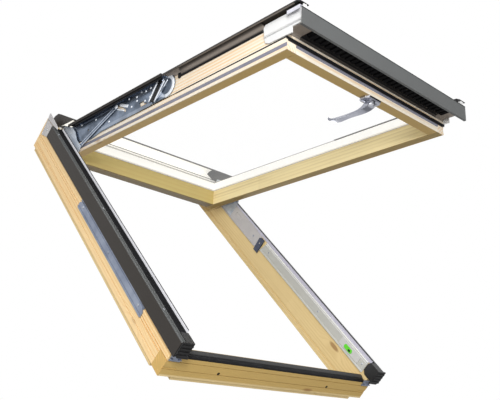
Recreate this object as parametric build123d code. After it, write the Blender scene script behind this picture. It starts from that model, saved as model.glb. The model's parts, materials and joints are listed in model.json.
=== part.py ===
from build123d import *
import math
import os

# Roof window with a timber frame and sash, hung at the top and in the middle.
# Frame: X across, Y from the weather side into the room, Z up the frame.
# The origin is the middle of the sill's bottom face. While pieces are made, y = 0 is
# the outer metal face; placed() then moves them to the origin.
# The sash and the arms are drawn closed and then swung open about the upper hinge.
# All sizes are in millimetres, angles in degrees.

# ---- driving dimensions: frame ----
FRAME_WIDTH = 780.0
FRAME_HEIGHT = 1180.0
JAMB_THICK = 29.0
FRAME_DEPTH = 117.0        # weather face to the main room edge
TONGUE_DEPTH = 10.5        # narrower step on the room side
TONGUE_STEP = 3.0          # step back of that tongue from the outer face
TONGUE_CUT = 48.0          # tongue left off beside the corners
SILL_FRONT = 58.0          # weather face to the sill's bottom front edge
SILL_LEAN = 9.0            # slope of the sill's front face over its height
SILL_END = 40.0            # height of the sill where it runs over the jambs' ends
SILL_STOP = 34.0           # height of the sill behind the sash
HEAD_STOP = 58.0           # depth of the head down to its stop
GROOVE_WIDE = 2.4
GROOVE_DEEP = 2.2
JAMB_GROOVES = (68.5, 76.0, 98.0)
EDGE_SOFT = 1.6            # softened edges of the timber
CLAD_RETURN = 6.0          # jamb side to the edge of the cladding's front
TRIM_THICK = 1.4           # upright trim at the reveal's corner
TRIM_RISE = 10.0
SHEET = 1.5                # folded aluminium sheet
SEAT = 0.3                 # gap left between touching pieces
SCREW_X = 211.0            # screw holes in the sill's bottom
SCREW_Y = 90.0

# ---- driving dimensions: sash ----
SASH_SIDE_GAP = 14.0       # jamb to stile, room for the arms
SASH_TOP_GAP = 70.0        # top of the frame to the top of the closed sash
SILL_CLEAR = 5.5           # sill to the closed sash
SASH_FACE_Y = 50.0         # room face of the closed sash
SASH_WOOD = 99.0           # depth of the sash timber
STILE_WIDE = 33.0
TOP_RAIL_WIDE = 43.5
BOTTOM_RAIL_WIDE = 34.0
GLASS_SEAT = 58.6          # room face to the glass
GLASS_THICK = 36.0
PANE_THICK = 4.0
SPACER_WIDE = 17.4
GLASS_COVER = 18.0         # timber over the glass edge
CAP_WIDE = 20.0            # metal over the stile beside the glass

# ---- driving dimensions: hinges, arms and stays ----
HINGE_Y = -26.0
HINGE_DOWN = 149.0         # top of the frame to the upper hinge
OPEN_ANGLE = 45.56
PIVOT_BELOW = 7.25         # middle of the sash to the middle pivot
PIVOT_OUT = 98.0           # room face to the middle pivot
PIVOT_RADIUS = 6.0
ARM_THICK = 2.5
ARM_GAP = 1.5              # stile to arm
ARM_OUT = 106.5            # room face to the arm's flange
ARM_END_RADIUS = 35.0
ARM_LOW_EDGE = 33.0        # room face to the arm's lower edge
STAY_THICK = 2.0
STAY_GAP = 1.5             # arm to stay
STAY_WIDE = 14.0
STAY_DOWN = 79.0           # upper hinge to the stay's frame pin
STAY_IN = 14.0
STAY_END_OUT = 90.0        # stay's sliding pin on the arm when open
STAY_END_DOWN = 340.0
STAY_RATIO = 1.448         # stay's turn for each degree of the arm
STUD_RADIUS = 3.5
SLOT_WIDE = 9.4
BRACKET_THICK = 2.2
COVER_INSET = 19.5         # frame side to the side covers
ARM_COVER_GAP = 0.3
COVER_FOLD = 6.5           # depth of the side covers' outer lip
COVER_RISE = 2.0           # side covers above the sash timber
COVER_LEG = 86.0           # room face to the end of the covers' leg beside the stile
SASH_COVER_DROP = 65.5     # overhang of the covers below the sash
CLOSURE_OUT = 51.0         # room face to the sheet below the bottom rail
BRUSH_HALF = 300.0
CORNER_BODY = 8.5          # thickness of the corner pieces' raised body

# ---- driving dimensions: handle ----
HANDLE_X = 7.0
HANDLE_UP = 19.5           # bottom of the sash to the handle's axis
HANDLE_HUB = 14.0
LEVER_LENGTH = 147.0
LEVER_RISE = 28.0          # highest point of the lever above the sash face
LEVER_THICK = 6.0

# ---- derived places ----
HALF = FRAME_WIDTH / 2
INNER = HALF - JAMB_THICK
SASH_HALF = INNER - SASH_SIDE_GAP
SASH_TOP = FRAME_HEIGHT - SASH_TOP_GAP
SASH_HEIGHT = SASH_TOP - JAMB_THICK - SILL_CLEAR
GLASS_X = SASH_HALF - STILE_WIDE
COVER_HALF = HALF - COVER_INSET
COVER_DOWN = SASH_HEIGHT + SASH_COVER_DROP
COVER_OUT = SASH_WOOD + SEAT + SHEET + COVER_RISE
CLAD_EDGE = -HALF + CLAD_RETURN
HINGE_Z = FRAME_HEIGHT - HINGE_DOWN
PIVOT_DOWN = SASH_HEIGHT / 2 + PIVOT_BELOW
ARM_X = SASH_HALF + ARM_GAP
ARM_END_DOWN = PIVOT_DOWN + 55
ARM_COVER_END = PIVOT_DOWN + 45
LIP_START = ARM_COVER_END + 7
LOW_COVER_START = PIVOT_DOWN + 115
PLATE_X = -INNER + SEAT
BRACKET_X = PLATE_X + 2
STAY_X = -ARM_X - ARM_THICK - STAY_GAP - STAY_THICK
PIVOT_Y = SASH_FACE_Y - PIVOT_OUT
PIVOT_Z = SASH_TOP - PIVOT_DOWN
ROOM_EDGE = FRAME_DEPTH + TONGUE_DEPTH
DATUM_Y = (SILL_FRONT + FRAME_DEPTH) / 2
FOLD_X = -HALF - 4.8       # outer side of the jamb cladding
HANDLE_DOWN = SASH_HEIGHT - HANDLE_UP


def outline_face(points, soft, corners):
    """Flat face of an outline; the named corners, or all of them, get the soft radius."""
    face = make_face(Polyline(*points, close=True))
    if not soft:
        return face
    chosen = points if corners is None else [points[k] for k in corners]
    return fillet([v for v in face.vertices() if min(math.dist((v.X, v.Y), p) for p in chosen) < 0.01], soft)


def polygon_z(points, z0, z1, soft=0.0, corners=None):
    """Solid with an outline in X and Y, from z0 to z1."""
    return extrude(Plane.XY.offset(z0) * outline_face(points, soft, corners), z1 - z0, dir=(0, 0, 1))


def polygon_x(points, x0, x1, soft=0.0, corners=None):
    """Solid with an outline in Y and Z, from x0 to x1."""
    return extrude(Plane.YZ.offset(x0) * outline_face(points, soft, corners), x1 - x0, dir=(1, 0, 0))


def block(x0, x1, y0, y1, z0, z1):
    """Box between two values on each axis."""
    middle = ((x0 + x1) / 2, (y0 + y1) / 2, (z0 + z1) / 2)
    return Pos(*middle) * Box(abs(x1 - x0), abs(y1 - y0), abs(z1 - z0))


def rod_x(x0, x1, y, z, radius):
    """Round rod along X."""
    return Pos((x0 + x1) / 2, y, z) * Rot(0, 90, 0) * Cylinder(radius, abs(x1 - x0))


def rod_z(x, y, z0, z1, radius):
    """Round rod along Z."""
    return Pos(x, y, (z0 + z1) / 2) * Cylinder(radius, abs(z1 - z0))


def sash_place(out, down):
    """Y and Z of a place on the closed sash: out from its room face, down from its top."""
    return SASH_FACE_Y - out, SASH_TOP - down


def sash_block(x0, x1, out0, out1, down0, down1):
    """Box on the closed sash: out from its room face, down from its top."""
    return block(x0, x1, SASH_FACE_Y - out0, SASH_FACE_Y - out1, SASH_TOP - down0, SASH_TOP - down1)


def sash_rod(x0, x1, out, down, radius):
    """Round rod across the closed sash."""
    return rod_x(x0, x1, *sash_place(out, down), radius)


def sash_profile_z(points, down0, down1, soft=0.0, corners=None):
    """Outline in x and depth from the room face, from down0 to down1 along the stile."""
    places = [(x, SASH_FACE_Y - out) for x, out in points]
    return polygon_z(places, SASH_TOP - down1, SASH_TOP - down0, soft, corners)


def sash_profile_x(points, x0, x1, soft=0.0, corners=None):
    """Outline in depth from the room face and distance from the top, across the sash."""
    places = [sash_place(out, down) for out, down in points]
    return polygon_x(places, x0, x1, soft, corners)


def opened(piece):
    """Turns a piece of the closed sash about the upper hinge to the open rest place."""
    hinge = Axis((0, HINGE_Y, HINGE_Z), (1, 0, 0))
    return piece.rotate(hinge, -OPEN_ANGLE)


def placed(piece):
    """Moves a finished piece so that the origin is on the sill's bottom face."""
    return Pos(0, -DATUM_Y, 0) * piece


def mirrored(piece):
    """The same piece on the other side of the window."""
    return mirror(piece, about=Plane.YZ)


def pair(piece):
    """A piece and its mirror image, as separate solids of one node."""
    return piece + mirrored(piece)


# ---- fixed frame ----

def jamb():
    """Left jamb: grooved outer face, room side tongue and a notch over the sill's end."""
    outer = -HALF
    front = SHEET + SEAT
    section = [(outer, front), (outer, FRAME_DEPTH), (-INNER, FRAME_DEPTH), (-INNER, front)]
    body = polygon_z(section, 0, FRAME_HEIGHT, EDGE_SOFT)
    tongue = [(outer + TONGUE_STEP, FRAME_DEPTH - 5), (outer + TONGUE_STEP, ROOM_EDGE), (-INNER, ROOM_EDGE), (-INNER, FRAME_DEPTH - 5)]
    body += polygon_z(tongue, TONGUE_CUT, FRAME_HEIGHT - TONGUE_CUT / 3, EDGE_SOFT)
    for place in JAMB_GROOVES:
        start = -1 if place < SILL_FRONT + 12 else SILL_END
        body -= block(outer - 1, outer + GROOVE_DEEP, place - GROOVE_WIDE / 2, place + GROOVE_WIDE / 2, start, FRAME_HEIGHT + 1)
    lining = FRAME_DEPTH - 12
    body -= block(-INNER - GROOVE_DEEP, -INNER + 1, lining, lining + 2 * GROOVE_WIDE, SILL_END + SEAT, FRAME_HEIGHT - JAMB_THICK)
    return body - block(outer - 1, -INNER + 1, SILL_FRONT + 12 - SEAT, FRAME_DEPTH + 1, -1, SILL_END + SEAT)


def sill():
    """Sill with a leaning front, a raised part behind the sash that runs on over the jambs' ends."""
    front = SILL_FRONT - SILL_LEAN
    stop = SASH_FACE_Y + 14
    section = [(SILL_FRONT, 0), (FRAME_DEPTH, 0), (FRAME_DEPTH, SILL_STOP), (stop, SILL_STOP), (stop - 1, JAMB_THICK), (front, JAMB_THICK)]
    body = polygon_x(section, -INNER - 1, INNER + 1)
    body -= pair(block(-INNER - 2, -INNER + SEAT, 0, SILL_FRONT + 12, -1, SILL_END))
    end = [(SILL_FRONT + 12, 0), (FRAME_DEPTH, 0), (FRAME_DEPTH, SILL_END), (SILL_FRONT + 12, SILL_END)]
    body += pair(polygon_x(end, -HALF, -INNER))
    tongue = [(FRAME_DEPTH - 1, TONGUE_STEP), (ROOM_EDGE, TONGUE_STEP), (ROOM_EDGE, JAMB_THICK), (FRAME_DEPTH - 1, JAMB_THICK)]
    x = INNER - 16
    body += polygon_x(tongue, -x, x)
    for place in (SILL_FRONT + 12, SCREW_Y + 5):
        body -= block(-HALF - 1, HALF + 1, place - 0.8, place + 0.8, -1, GROOVE_DEEP)
    for side in (-1, 1):
        body -= rod_z(side * SCREW_X, SCREW_Y, -1, 25, 3.0)
        body -= rod_z(side * (SCREW_X - 2), SILL_FRONT + 4, -1, 8, 1.6)
        body -= block(side * (HALF + 1), side * (INNER - 12), SCREW_Y - 2.5, SCREW_Y + 3.2, -1, 1.2)
    return body


def head():
    """Head with a stop above the sash and a tongue on the room side."""
    top = FRAME_HEIGHT
    low = top - JAMB_THICK
    front = SHEET + SEAT
    section = [(front, top), (FRAME_DEPTH, top), (FRAME_DEPTH, low), (SASH_FACE_Y + 6, low), (SASH_FACE_Y, top - HEAD_STOP), (front, top - HEAD_STOP)]
    body = polygon_x(section, -INNER + SEAT, INNER - SEAT, EDGE_SOFT, (0, 1, 4, 5))
    tongue = [(FRAME_DEPTH - 5, low), (ROOM_EDGE, low), (ROOM_EDGE, top - TONGUE_STEP), (FRAME_DEPTH - 5, top - TONGUE_STEP)]
    x = INNER - 16
    return body + polygon_x(tongue, -x, x, EDGE_SOFT)


def jamb_cladding():
    """Folded aluminium over the jamb's front and side, with a hem at both edges."""
    inner = CLAD_EDGE
    t = SHEET
    section = [(FOLD_X, 0), (FOLD_X, 44), (-HALF - SEAT, 44), (-HALF - SEAT, 44 - t), (FOLD_X + t, 44 - t), (FOLD_X + t, t),
               (inner, t), (inner, -2.2), (inner - 3, -2.2), (inner - 3, 0)]
    return polygon_z(section, -16, FRAME_HEIGHT - 68)


def jamb_gasket():
    """Broad rubber profile with a raised lip and ribs, between the cladding and the trim."""
    outer, inner = CLAD_EDGE + SEAT, -INNER - TRIM_THICK - SEAT
    section = [(outer, SHEET), (inner, SHEET), (inner, -2.6), (inner - 1.5, -4.4), (inner - 4, -3.4), (inner - 5, -1)]
    for k in range(3):
        section += [(inner - 7 - 4 * k, -1), (inner - 8 - 4 * k, -2.8), (inner - 9 - 4 * k, -1)]
    return polygon_z(section + [(outer, -1)], 20 + SEAT, FRAME_HEIGHT - 80)


def reveal_trim():
    """Upright pale strip at the reveal's corner, with a hem along its edge."""
    outer = -INNER - TRIM_THICK
    strip = block(outer, -INNER, -TRIM_RISE, SHEET, 20 + SEAT, FRAME_HEIGHT - 86)
    return strip + block(outer, -INNER + 0.7, -TRIM_RISE, 1.5 - TRIM_RISE, 20 + SEAT, FRAME_HEIGHT - 86)


def corner_cap():
    """Moulded end cap: ribbed foot under the cladding, wall in the reveal and a plug."""
    low, foot = -20.0, -16.3
    wall = PLATE_X + 2.5
    lip = CLAD_EDGE + 2 * SEAT
    outline = [(FOLD_X + 1.5, -4), (FOLD_X + 1.5, 36), (FOLD_X + 9, 44), (-INNER + 9, 44), (-INNER + 9, 38), (wall, 34), (wall, -4)]
    cap = polygon_z(outline, low, foot)
    for k in range(4):
        cap += block(FOLD_X + 4, -INNER + 2, 3 + 10 * k, 7 + 10 * k, low - 2.5, low)
    cap += block(FOLD_X + SHEET + SEAT, lip - 2, SHEET + SEAT, 44 - SHEET - SEAT, foot, -SEAT)
    cap += polygon_x([(-4, low), (38, low), (38, 16), (29, 27), (5, 27), (-4, 20)], PLATE_X, wall)
    return cap + block(lip, wall, -4, SHEET, low, 20)


def sill_clip():
    """Bent steel clip under the end of the sill, with two lugs turned down."""
    outer, inner = -HALF + 4, -INNER + 9
    clip = block(outer, inner, 47, 68, -1.8, -SEAT)
    for x in (outer, inner - 9):
        clip += block(x, x + 9, 60, 61.6, -6, -1.8)
    return clip - rod_z((outer + inner) / 2, 54, -3, 1, 2.2)


def on_sill(along, off):
    """Y and Z of a place on the sill's leaning front face: along it and off it."""
    length = math.hypot(SILL_LEAN, JAMB_THICK)
    y, z = -SILL_LEAN / length, JAMB_THICK / length
    return SILL_FRONT + y * along - z * off, z * along + y * off


def sill_strip(points):
    """Strip along the sill's front face, from its section along and off that face."""
    x = INNER - 2
    return polygon_x([on_sill(along, off) for along, off in points], -x, x)


def sill_cladding():
    return sill_strip([(15.2, SEAT), (15.2, 2.2), (16.6, 3.4), (26.4, 3.4), (28.3, 2), (28.3, SEAT)])


def sill_gasket():
    return sill_strip([(0.8, SEAT), (0.8, 3), (4, 4.2), (9, 3.8), (13, 2.6), (14.8, 2.4), (14.8, SEAT)])


def fixing_strip():
    """Zinc plated strip on the jamb's side, with clipped ends and screw holes."""
    z0, z1 = 168.0, FRAME_HEIGHT - 474
    y0, y1 = 51.0, 77.0
    outline = [(y0, z0 + 12), (y0 + 9, z0), (y1 - 3, z0), (y1, z0 + 3), (y1, z1 - 3), (y1 - 3, z1), (y0 + 9, z1), (y0, z1 - 12)]
    strip = polygon_x(outline, -HALF - 2.3, -HALF - SEAT)
    rib = block(-HALF - 3.5, -HALF - 2.2, y1 - 7, y1 - 5, z0 + 4, z1 - 4)
    strip += rib
    spacing = (z1 - z0 - 64) / 2
    for k in range(3):
        strip -= rod_x(-HALF - 4, -HALF + 1, 60, z0 + 32 + k * spacing, 3.2)
    return strip


def top_plate():
    """Light folded plate beside the top of the jamb, with a narrow tail in front of it."""
    top = FRAME_HEIGHT
    outline = [(-21, top - 7), (59, top - 20), (46, top - 66), (-2, top - 63), (-8, top - 109), (-16, top - 106)]
    plate = polygon_x(outline, -HALF - 2, -HALF - SEAT)
    hem = [(-21, top - 7), (59, top - 20), (59, top - 21.6), (-21, top - 8.6)]
    plate += polygon_x(hem, -HALF - 3.4, -HALF - 1.9)
    plate -= polygon_x([(1, top - 14), (3.4, top - 14), (0.4, top - 64), (-2, top - 63)], -HALF - 4, -HALF + 1)
    return plate + polygon_x([(-22, top - 9), (-1, top - 12.5), (-9, top - 105), (-17, top - 102)], -HALF - 4.4, -HALF - 2)


def keeper_plate():
    """Upper plate in the reveal, with clipped corners and a long slot."""
    low = FRAME_HEIGHT - 483
    outline = [(50, low), (50, SASH_TOP - 5), (3, SASH_TOP - 5), (-2.5, SASH_TOP - 50), (-2.5, low + 65), (2, low + 20), (14, low)]
    plate = polygon_x(outline, PLATE_X, PLATE_X + 1.7)
    plate += block(PLATE_X, PLATE_X + 4.2, 48.4, 50, low + 26, SASH_TOP - 5)
    slot = Plane.YZ.offset(PLATE_X - 1) * Pos(20, low + 190) * SlotOverall(34, 9, rotation=90)
    return plate - extrude(slot, 4, dir=(1, 0, 0))


def lower_channel():
    """Channel in the reveal with a raised ridge along both edges and a slanted upper end."""
    x = PLATE_X
    section = [(x, 1.5), (x, 43), (x + 3.2, 43), (x + 4.2, 41.5), (x + 4.2, 39.5), (x + 1.7, 37), (x + 1.7, 8), (x + 4.2, 5), (x + 4.2, 3), (x + 3.2, 1.5)]
    low, high = JAMB_THICK, FRAME_HEIGHT - 492
    channel = polygon_z(section, low, high)
    return channel - polygon_x([(-1, high + 1), (-1, high - 16), (44, high + 1)], x - 1, x + 6)


def striker_bracket():
    """Dark bracket over the joint of the two reveal plates, with a standing fold."""
    low = FRAME_HEIGHT - 490
    x = PLATE_X + 1.7 + SEAT
    outline = [(59, low), (59, low + 28), (11, low + 32), (3, low + 22), (3, low)]
    bracket = polygon_x(outline, x, x + 1.6)
    bracket += block(x, x + 3.6, 4, 58, low, low + 1.6)
    return bracket - rod_x(x - 1, x + 5, 25, low + 17, 4)


def vial_slot(x0, depth, wide, long):
    """Oval prism for the level vial and its window."""
    slot = Plane.YZ.offset(x0) * Pos(25, 117) * SlotOverall(long, wide, rotation=90)
    return extrude(slot, depth, dir=(1, 0, 0))


def level_plate():
    x = PLATE_X + 1.7 + SEAT
    plate = polygon_x([(10, 60), (35, 60), (35, 160), (10, 160)], x, x + 1.4, 3)
    return plate - vial_slot(x - 1, 4, 14.6, 39.6)


def level_vial():
    x = PLATE_X + 1.7 + SEAT
    return vial_slot(x, 2.4, 13.6, 38.6) + vial_slot(x, 3.2, 11.6, 36.6)


def hinge_bracket():
    """Hinge plate on the reveal with the arm's pin and the stay's pin."""
    z = HINGE_Z
    outline = [(44, z - 101), (44, z + 76), (20, z + 84), (-14, z + 84), (-42, z + 18), (-42, z - 16), (-30, z - 52), (-30, z - 92), (-20, z - 101)]
    plate = polygon_x(outline, BRACKET_X, BRACKET_X + BRACKET_THICK, 5, (3, 4, 5))
    plate -= rod_x(BRACKET_X - 1, BRACKET_X + 4, 14, z - 8, 11)
    plate += rod_x(BRACKET_X, -ARM_X + 0.9, HINGE_Y, z, 5)
    plate += rod_x(BRACKET_X, -ARM_X - ARM_THICK - SEAT, HINGE_Y, z, 9)
    y, z = stay_points()[0]
    plate += rod_x(BRACKET_X, STAY_X - SEAT, y, z, 7)
    return plate + rod_x(BRACKET_X, STAY_X + STAY_THICK + 0.5, y, z, 4)


def head_hood():
    """Folded hood over the top of the window, closed at both ends."""
    top = FRAME_HEIGHT
    x = COVER_HALF + SHEET
    outer = [(-76, top - 144), (-43, top - 43), (-34, top - 20), (-18, top - 7), (SHEET, top)]
    inner = [(SHEET, top - 1.8), (-17, top - 8.5), (-32.7, top - 21), (-41.6, top - 43.5), (-73.5, top - 141), (-70, top - 138), (-70, top - 136.5)]
    shell = polygon_x(outer + inner[:-2] + [(-71, top - 141), (-71, top - 144)], -x, x)
    end = polygon_x(outer + [(-SEAT, top - 55), (-24, top - 90)], -x, -x + SHEET)
    foot = block(-x, x, SHEET, 0, top - 48, top - 0.5)
    return shell + end + mirrored(end) + foot


# ---- arms ----

def stay_points():
    """Frame pin and sliding pin of the open stay."""
    pin = (HINGE_Y + STAY_IN, HINGE_Z - STAY_DOWN)
    c = math.cos(math.radians(OPEN_ANGLE))
    s = math.sin(math.radians(OPEN_ANGLE))
    y, z = sash_place(STAY_END_OUT, STAY_END_DOWN)
    y, z = y - HINGE_Y, z - HINGE_Z
    return pin, (HINGE_Y + y * c + z * s, HINGE_Z - y * s + z * c)


def slide_place(closing):
    """Where the stay's stud stands on the closed arm, after closing by so many degrees."""
    (y0, z0), (y1, z1) = stay_points()
    turn = math.radians(closing * STAY_RATIO)
    y, z = y1 - y0, z1 - z0
    y, z = y0 + y * math.cos(turn) - z * math.sin(turn), z0 + y * math.sin(turn) + z * math.cos(turn)
    back = math.radians(OPEN_ANGLE - closing)
    y, z = y - HINGE_Y, z - HINGE_Z
    return HINGE_Y + y * math.cos(back) - z * math.sin(back), HINGE_Z + y * math.sin(back) + z * math.cos(back)


def slide_slot(x0, x1, width):
    """Curved slot along the stud's path on the arm."""
    path = ThreePointArc(*[slide_place(OPEN_ANGLE * part) for part in (0, 0.5, 1)])
    slot = Plane.YZ.offset(x0) * SlotArc(path, width)
    return extrude(slot, x1 - x0, dir=(1, 0, 0))


def arm():
    """Pressed arm: tapering plate with a curved slot, a folded flange, ribs and a round end."""
    x0, x1 = -ARM_X - ARM_THICK, -ARM_X
    end = ARM_END_DOWN
    middle = ARM_OUT - ARM_END_RADIUS
    low = ARM_LOW_EDGE
    outline = [(ARM_OUT, 50), (ARM_OUT, end), (middle - ARM_END_RADIUS, end), (low + 2, end - 68), (low, 420), (low - 2, 250), (low - 10, 190), (40, 100), (66, 50)]
    plate = sash_profile_x(outline, x0, x1) + sash_rod(x0, x1, middle, end, ARM_END_RADIUS)
    for radius in (ARM_END_RADIUS - 1.5, ARM_END_RADIUS - 11):
        ring = sash_rod(x0 - 1, x0, middle, end, radius) - sash_rod(x0 - 2, x1, middle, end, radius - 4)
        plate += ring - sash_block(x0 - 2, x1, middle - 50, middle + 50, end - 80, end - 4)
    fork = PIVOT_DOWN - 20
    plate += sash_profile_x([(34, fork), (34, fork + 7), (80, fork + 43), (103, fork + 54), (103, fork + 40), (85, fork + 33)], x0 - 2.6, x0)
    plate += sash_profile_x([(34, fork + 16), (34, fork + 22), (62, fork + 59), (71, fork + 67), (73, fork + 61), (65, fork + 52)], x0 - 2.6, x0)
    plate -= sash_profile_x([(48, fork + 8), (48, fork + 24), (66, fork + 47), (74, fork + 40)], x0 - 3, x1 + 1)
    plate += sash_profile_x([(low, 250), (low + 12, 262), (low + 13, fork - 12), (low, fork)], x0 - 1, x0)
    flange = sash_block(-COVER_HALF + 4, x1, ARM_OUT - 2.2, ARM_OUT, 110, ARM_COVER_END)
    flange -= sash_rod(-COVER_HALF, x0, PIVOT_OUT, PIVOT_DOWN, 12)
    rib = sash_profile_x([(94, 90), (99, 90), (99, 330), (94, 330)], x0 - 1, x0)
    plate = plate + flange + rib
    plate -= sash_rod(x0 - 3, x1 + 1, 62, 175, 4)
    window = [(46, fork - 55), (62, fork - 62), (62, fork - 38), (54, fork - 38), (50, fork - 22), (46, fork - 22)]
    plate -= sash_profile_x(window, x0 - 3, x1 + 1)
    plate -= rod_x(x0 - 2, x1 + 1, HINGE_Y, HINGE_Z, 5.3)
    plate -= sash_rod(x0 - 3, x1 + 1, PIVOT_OUT, PIVOT_DOWN, PIVOT_RADIUS + 0.3)
    return plate - slide_slot(x0 - 2, x1 + 1, SLOT_WIDE)


def cover(inner, out, down0, down1, fold):
    """Folded side cover: flat top and an outer lip with a hem."""
    x, t = -COVER_HALF, SHEET
    low = out - fold
    section = [(x, out), (inner, out), (inner, out - t), (x + t, out - t), (x + t, low + t), (x + 2 * t, low + t), (x + 2 * t, low), (x, low)]
    return sash_profile_z(section, down0, down1)


def arm_cover():
    """Cover over the arm's flange, with a stepped end beside the lower cover."""
    out = ARM_OUT + ARM_COVER_GAP + SHEET
    body = cover(-ARM_X - 0.5, out, 70, ARM_COVER_END, COVER_FOLD + 3)
    return body + sash_block(-COVER_HALF - 0.8, -COVER_HALF, out - 5.5, out - 4, 76, ARM_COVER_END - 2)


def arm_seal():
    """Rubber strip below the lip of the arm's cover, clipped to the flange."""
    x, out = -COVER_HALF + 4, ARM_OUT - 2.2 - SEAT
    return sash_profile_z([(x, out), (x + 4, out), (x + 4, out - 2), (x + 1.8, out - 3), (x + 1.8, 92), (x, 92)], 112, ARM_COVER_END - 2)


def stay():
    """Flat stay with a ridge along both edges, round ends, a hole and a sliding stud."""
    (y0, z0), (y1, z1) = stay_points()
    length = math.dist((y0, z0), (y1, z1))
    angle = math.degrees(math.atan2(z1 - z0, y1 - y0))
    x, half = STAY_X, STAY_WIDE / 2
    bar = block(x + 0.8, x + STAY_THICK, 0, length, -half, half)
    for side in (-1, 1):
        bar += block(x, x + 1, 8, length - 8, side * half, side * (half - 2.6))
    bar += rod_x(x, x + STAY_THICK, 0, 0, half) + rod_x(x, x + STAY_THICK, length, 0, half)
    bar -= rod_x(x - 1, x + 4, 0, 0, 4.3)
    bar -= rod_x(x - 1, x + 4, length / 3, 0, 2.4)
    bar += rod_x(x, -ARM_X - SEAT, length, 0, STUD_RADIUS)
    return Pos(0, y0, z0) * Rot(angle, 0, 0) * bar


# ---- sash ----

def stile():
    """Left stile: glass rebate, groove for the gasket and a narrow groove on the outer side."""
    outer, inner = -SASH_HALF, -GLASS_X
    rebate = inner - GLASS_COVER
    outline = [(outer, 0), (outer, SASH_WOOD), (rebate, SASH_WOOD), (rebate, GLASS_SEAT), (inner, GLASS_SEAT), (inner, 0)]
    body = sash_profile_z(outline, 0, SASH_HEIGHT, EDGE_SOFT, (0, 1, 4, 5))
    body -= sash_block(outer - 1, outer + 3, 9, 20, -1, SASH_HEIGHT + 1)
    return body - sash_block(outer - 1, outer + 3, 33, 36, -1, SASH_HEIGHT + 1)


def rail_top():
    low, rebate = TOP_RAIL_WIDE, TOP_RAIL_WIDE - GLASS_COVER
    outline = [(0, 0), (85, 0), (SASH_WOOD, 20), (SASH_WOOD, rebate), (GLASS_SEAT, rebate), (GLASS_SEAT, low), (0, low)]
    x = GLASS_X - SEAT
    body = sash_profile_x(outline, -x, x, EDGE_SOFT, (0, 1, 2, 5, 6))
    return body - sash_block(-x - 1, x + 1, 16, 25, -1, 3)


def rail_bottom():
    foot = SASH_HEIGHT
    high, rebate = foot - BOTTOM_RAIL_WIDE, foot - BOTTOM_RAIL_WIDE + GLASS_COVER
    outline = [(0, foot), (SASH_WOOD, foot), (SASH_WOOD, rebate), (GLASS_SEAT, rebate), (GLASS_SEAT, high), (0, high)]
    x = GLASS_X - SEAT
    body = sash_profile_x(outline, -x, x, EDGE_SOFT, (0, 1, 4, 5))
    body -= sash_block(-x - 1, x + 1, 16, 25, foot - 3, foot + 1)
    return body - sash_block(-x - 1, x + 1, 33.5, 36.5, foot - 3, foot + 1)


def sash_gaskets():
    """Seals in the grooves of both stiles, the top rail and the bottom rail."""
    outer = -SASH_HALF
    side = [(outer + 2.7, 9.3), (outer + 2.7, 19.7), (outer + 0.2, 19.7), (outer - 0.8, 16), (outer - 0.8, 13), (outer + 0.2, 9.3)]
    stiles = pair(sash_profile_z(side, 2, SASH_HEIGHT - 2))
    x, foot = GLASS_X - 2, SASH_HEIGHT
    low = [(16.3, foot - 2.7), (24.7, foot - 2.7), (24.7, foot + 0.6), (21, foot + 3), (19, foot + 3), (16.3, foot + 0.6)]
    high = [(16.3, 2.7), (24.7, 2.7), (24.7, -0.6), (21, -3), (19, -3), (16.3, -0.6)]
    return stiles + sash_profile_x(low, -x, x) + sash_profile_x(high, -x, x)


def glass_edges():
    """Half width, top and bottom of the glass."""
    top = TOP_RAIL_WIDE - GLASS_COVER + SEAT
    low = SASH_HEIGHT - BOTTOM_RAIL_WIDE + GLASS_COVER - SEAT
    return GLASS_X + GLASS_COVER - SEAT, top, low


def glass():
    x, top, low = glass_edges()
    inside = sash_block(-x, x, GLASS_SEAT + SEAT, GLASS_SEAT + SEAT + PANE_THICK, top, low)
    outer = GLASS_SEAT + GLASS_THICK
    return inside + sash_block(-x, x, outer - PANE_THICK, outer, top, low)


def spacer():
    x, top, low = glass_edges()
    out0 = GLASS_SEAT + PANE_THICK + 2 * SEAT
    out1 = GLASS_SEAT + GLASS_THICK - PANE_THICK - SEAT
    w = SPACER_WIDE
    ring = sash_block(-x, x, out0, out1, top, low)
    return ring - sash_block(-x + w, x - w, out0 - 1, out1 + 1, top + w, low - w)


def glazing_cap():
    """Metal over the upper half of the stile, with a fold down to the glass."""
    inner, outer, out = -SASH_HALF + CAP_WIDE, -SASH_HALF + 1, SASH_WOOD + SEAT
    glass_face = GLASS_SEAT + GLASS_THICK + SEAT
    section = [(outer, out + SHEET), (inner, out + SHEET), (inner, glass_face), (inner - SHEET, glass_face), (inner - SHEET, out), (outer, out)]
    return sash_profile_z(section, 22, LOW_COVER_START - SEAT)


def top_cap():
    """Metal over the top rail, following its bevel, with a fold down to the glass."""
    out, low = SASH_WOOD + SEAT, TOP_RAIL_WIDE - GLASS_COVER + 7
    glass_face = GLASS_SEAT + GLASS_THICK + SEAT
    section = [(out, 21.5), (out + SHEET, 21.5), (out + SHEET, low), (glass_face, low), (glass_face, low - SHEET), (out, low - SHEET)]
    x = SASH_HALF - CAP_WIDE - SEAT
    return sash_profile_x(section, -x, x)


def sash_cover():
    """Cover of the lower half: outer lip, flat and a leg down beside the stile."""
    low_end = COVER_DOWN - 21 - SEAT
    narrow = cover(-ARM_X - ARM_THICK - 4.5, COVER_OUT, LIP_START, LOW_COVER_START + 1, COVER_FOLD)
    wide = cover(-SASH_HALF + CAP_WIDE, COVER_OUT, LOW_COVER_START, low_end, COVER_FOLD)
    x, out = -SASH_HALF - SEAT, COVER_OUT - SHEET
    cove = [(x, out), (x, COVER_LEG), (x - 1.5, COVER_LEG), (x - 3.5, COVER_LEG + 6), (x - 9, out - 4), (x - 16, out - 1), (x - 18, out)]
    return narrow + wide + sash_profile_z(cove, LOW_COVER_START, SASH_HEIGHT - 78)


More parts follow.
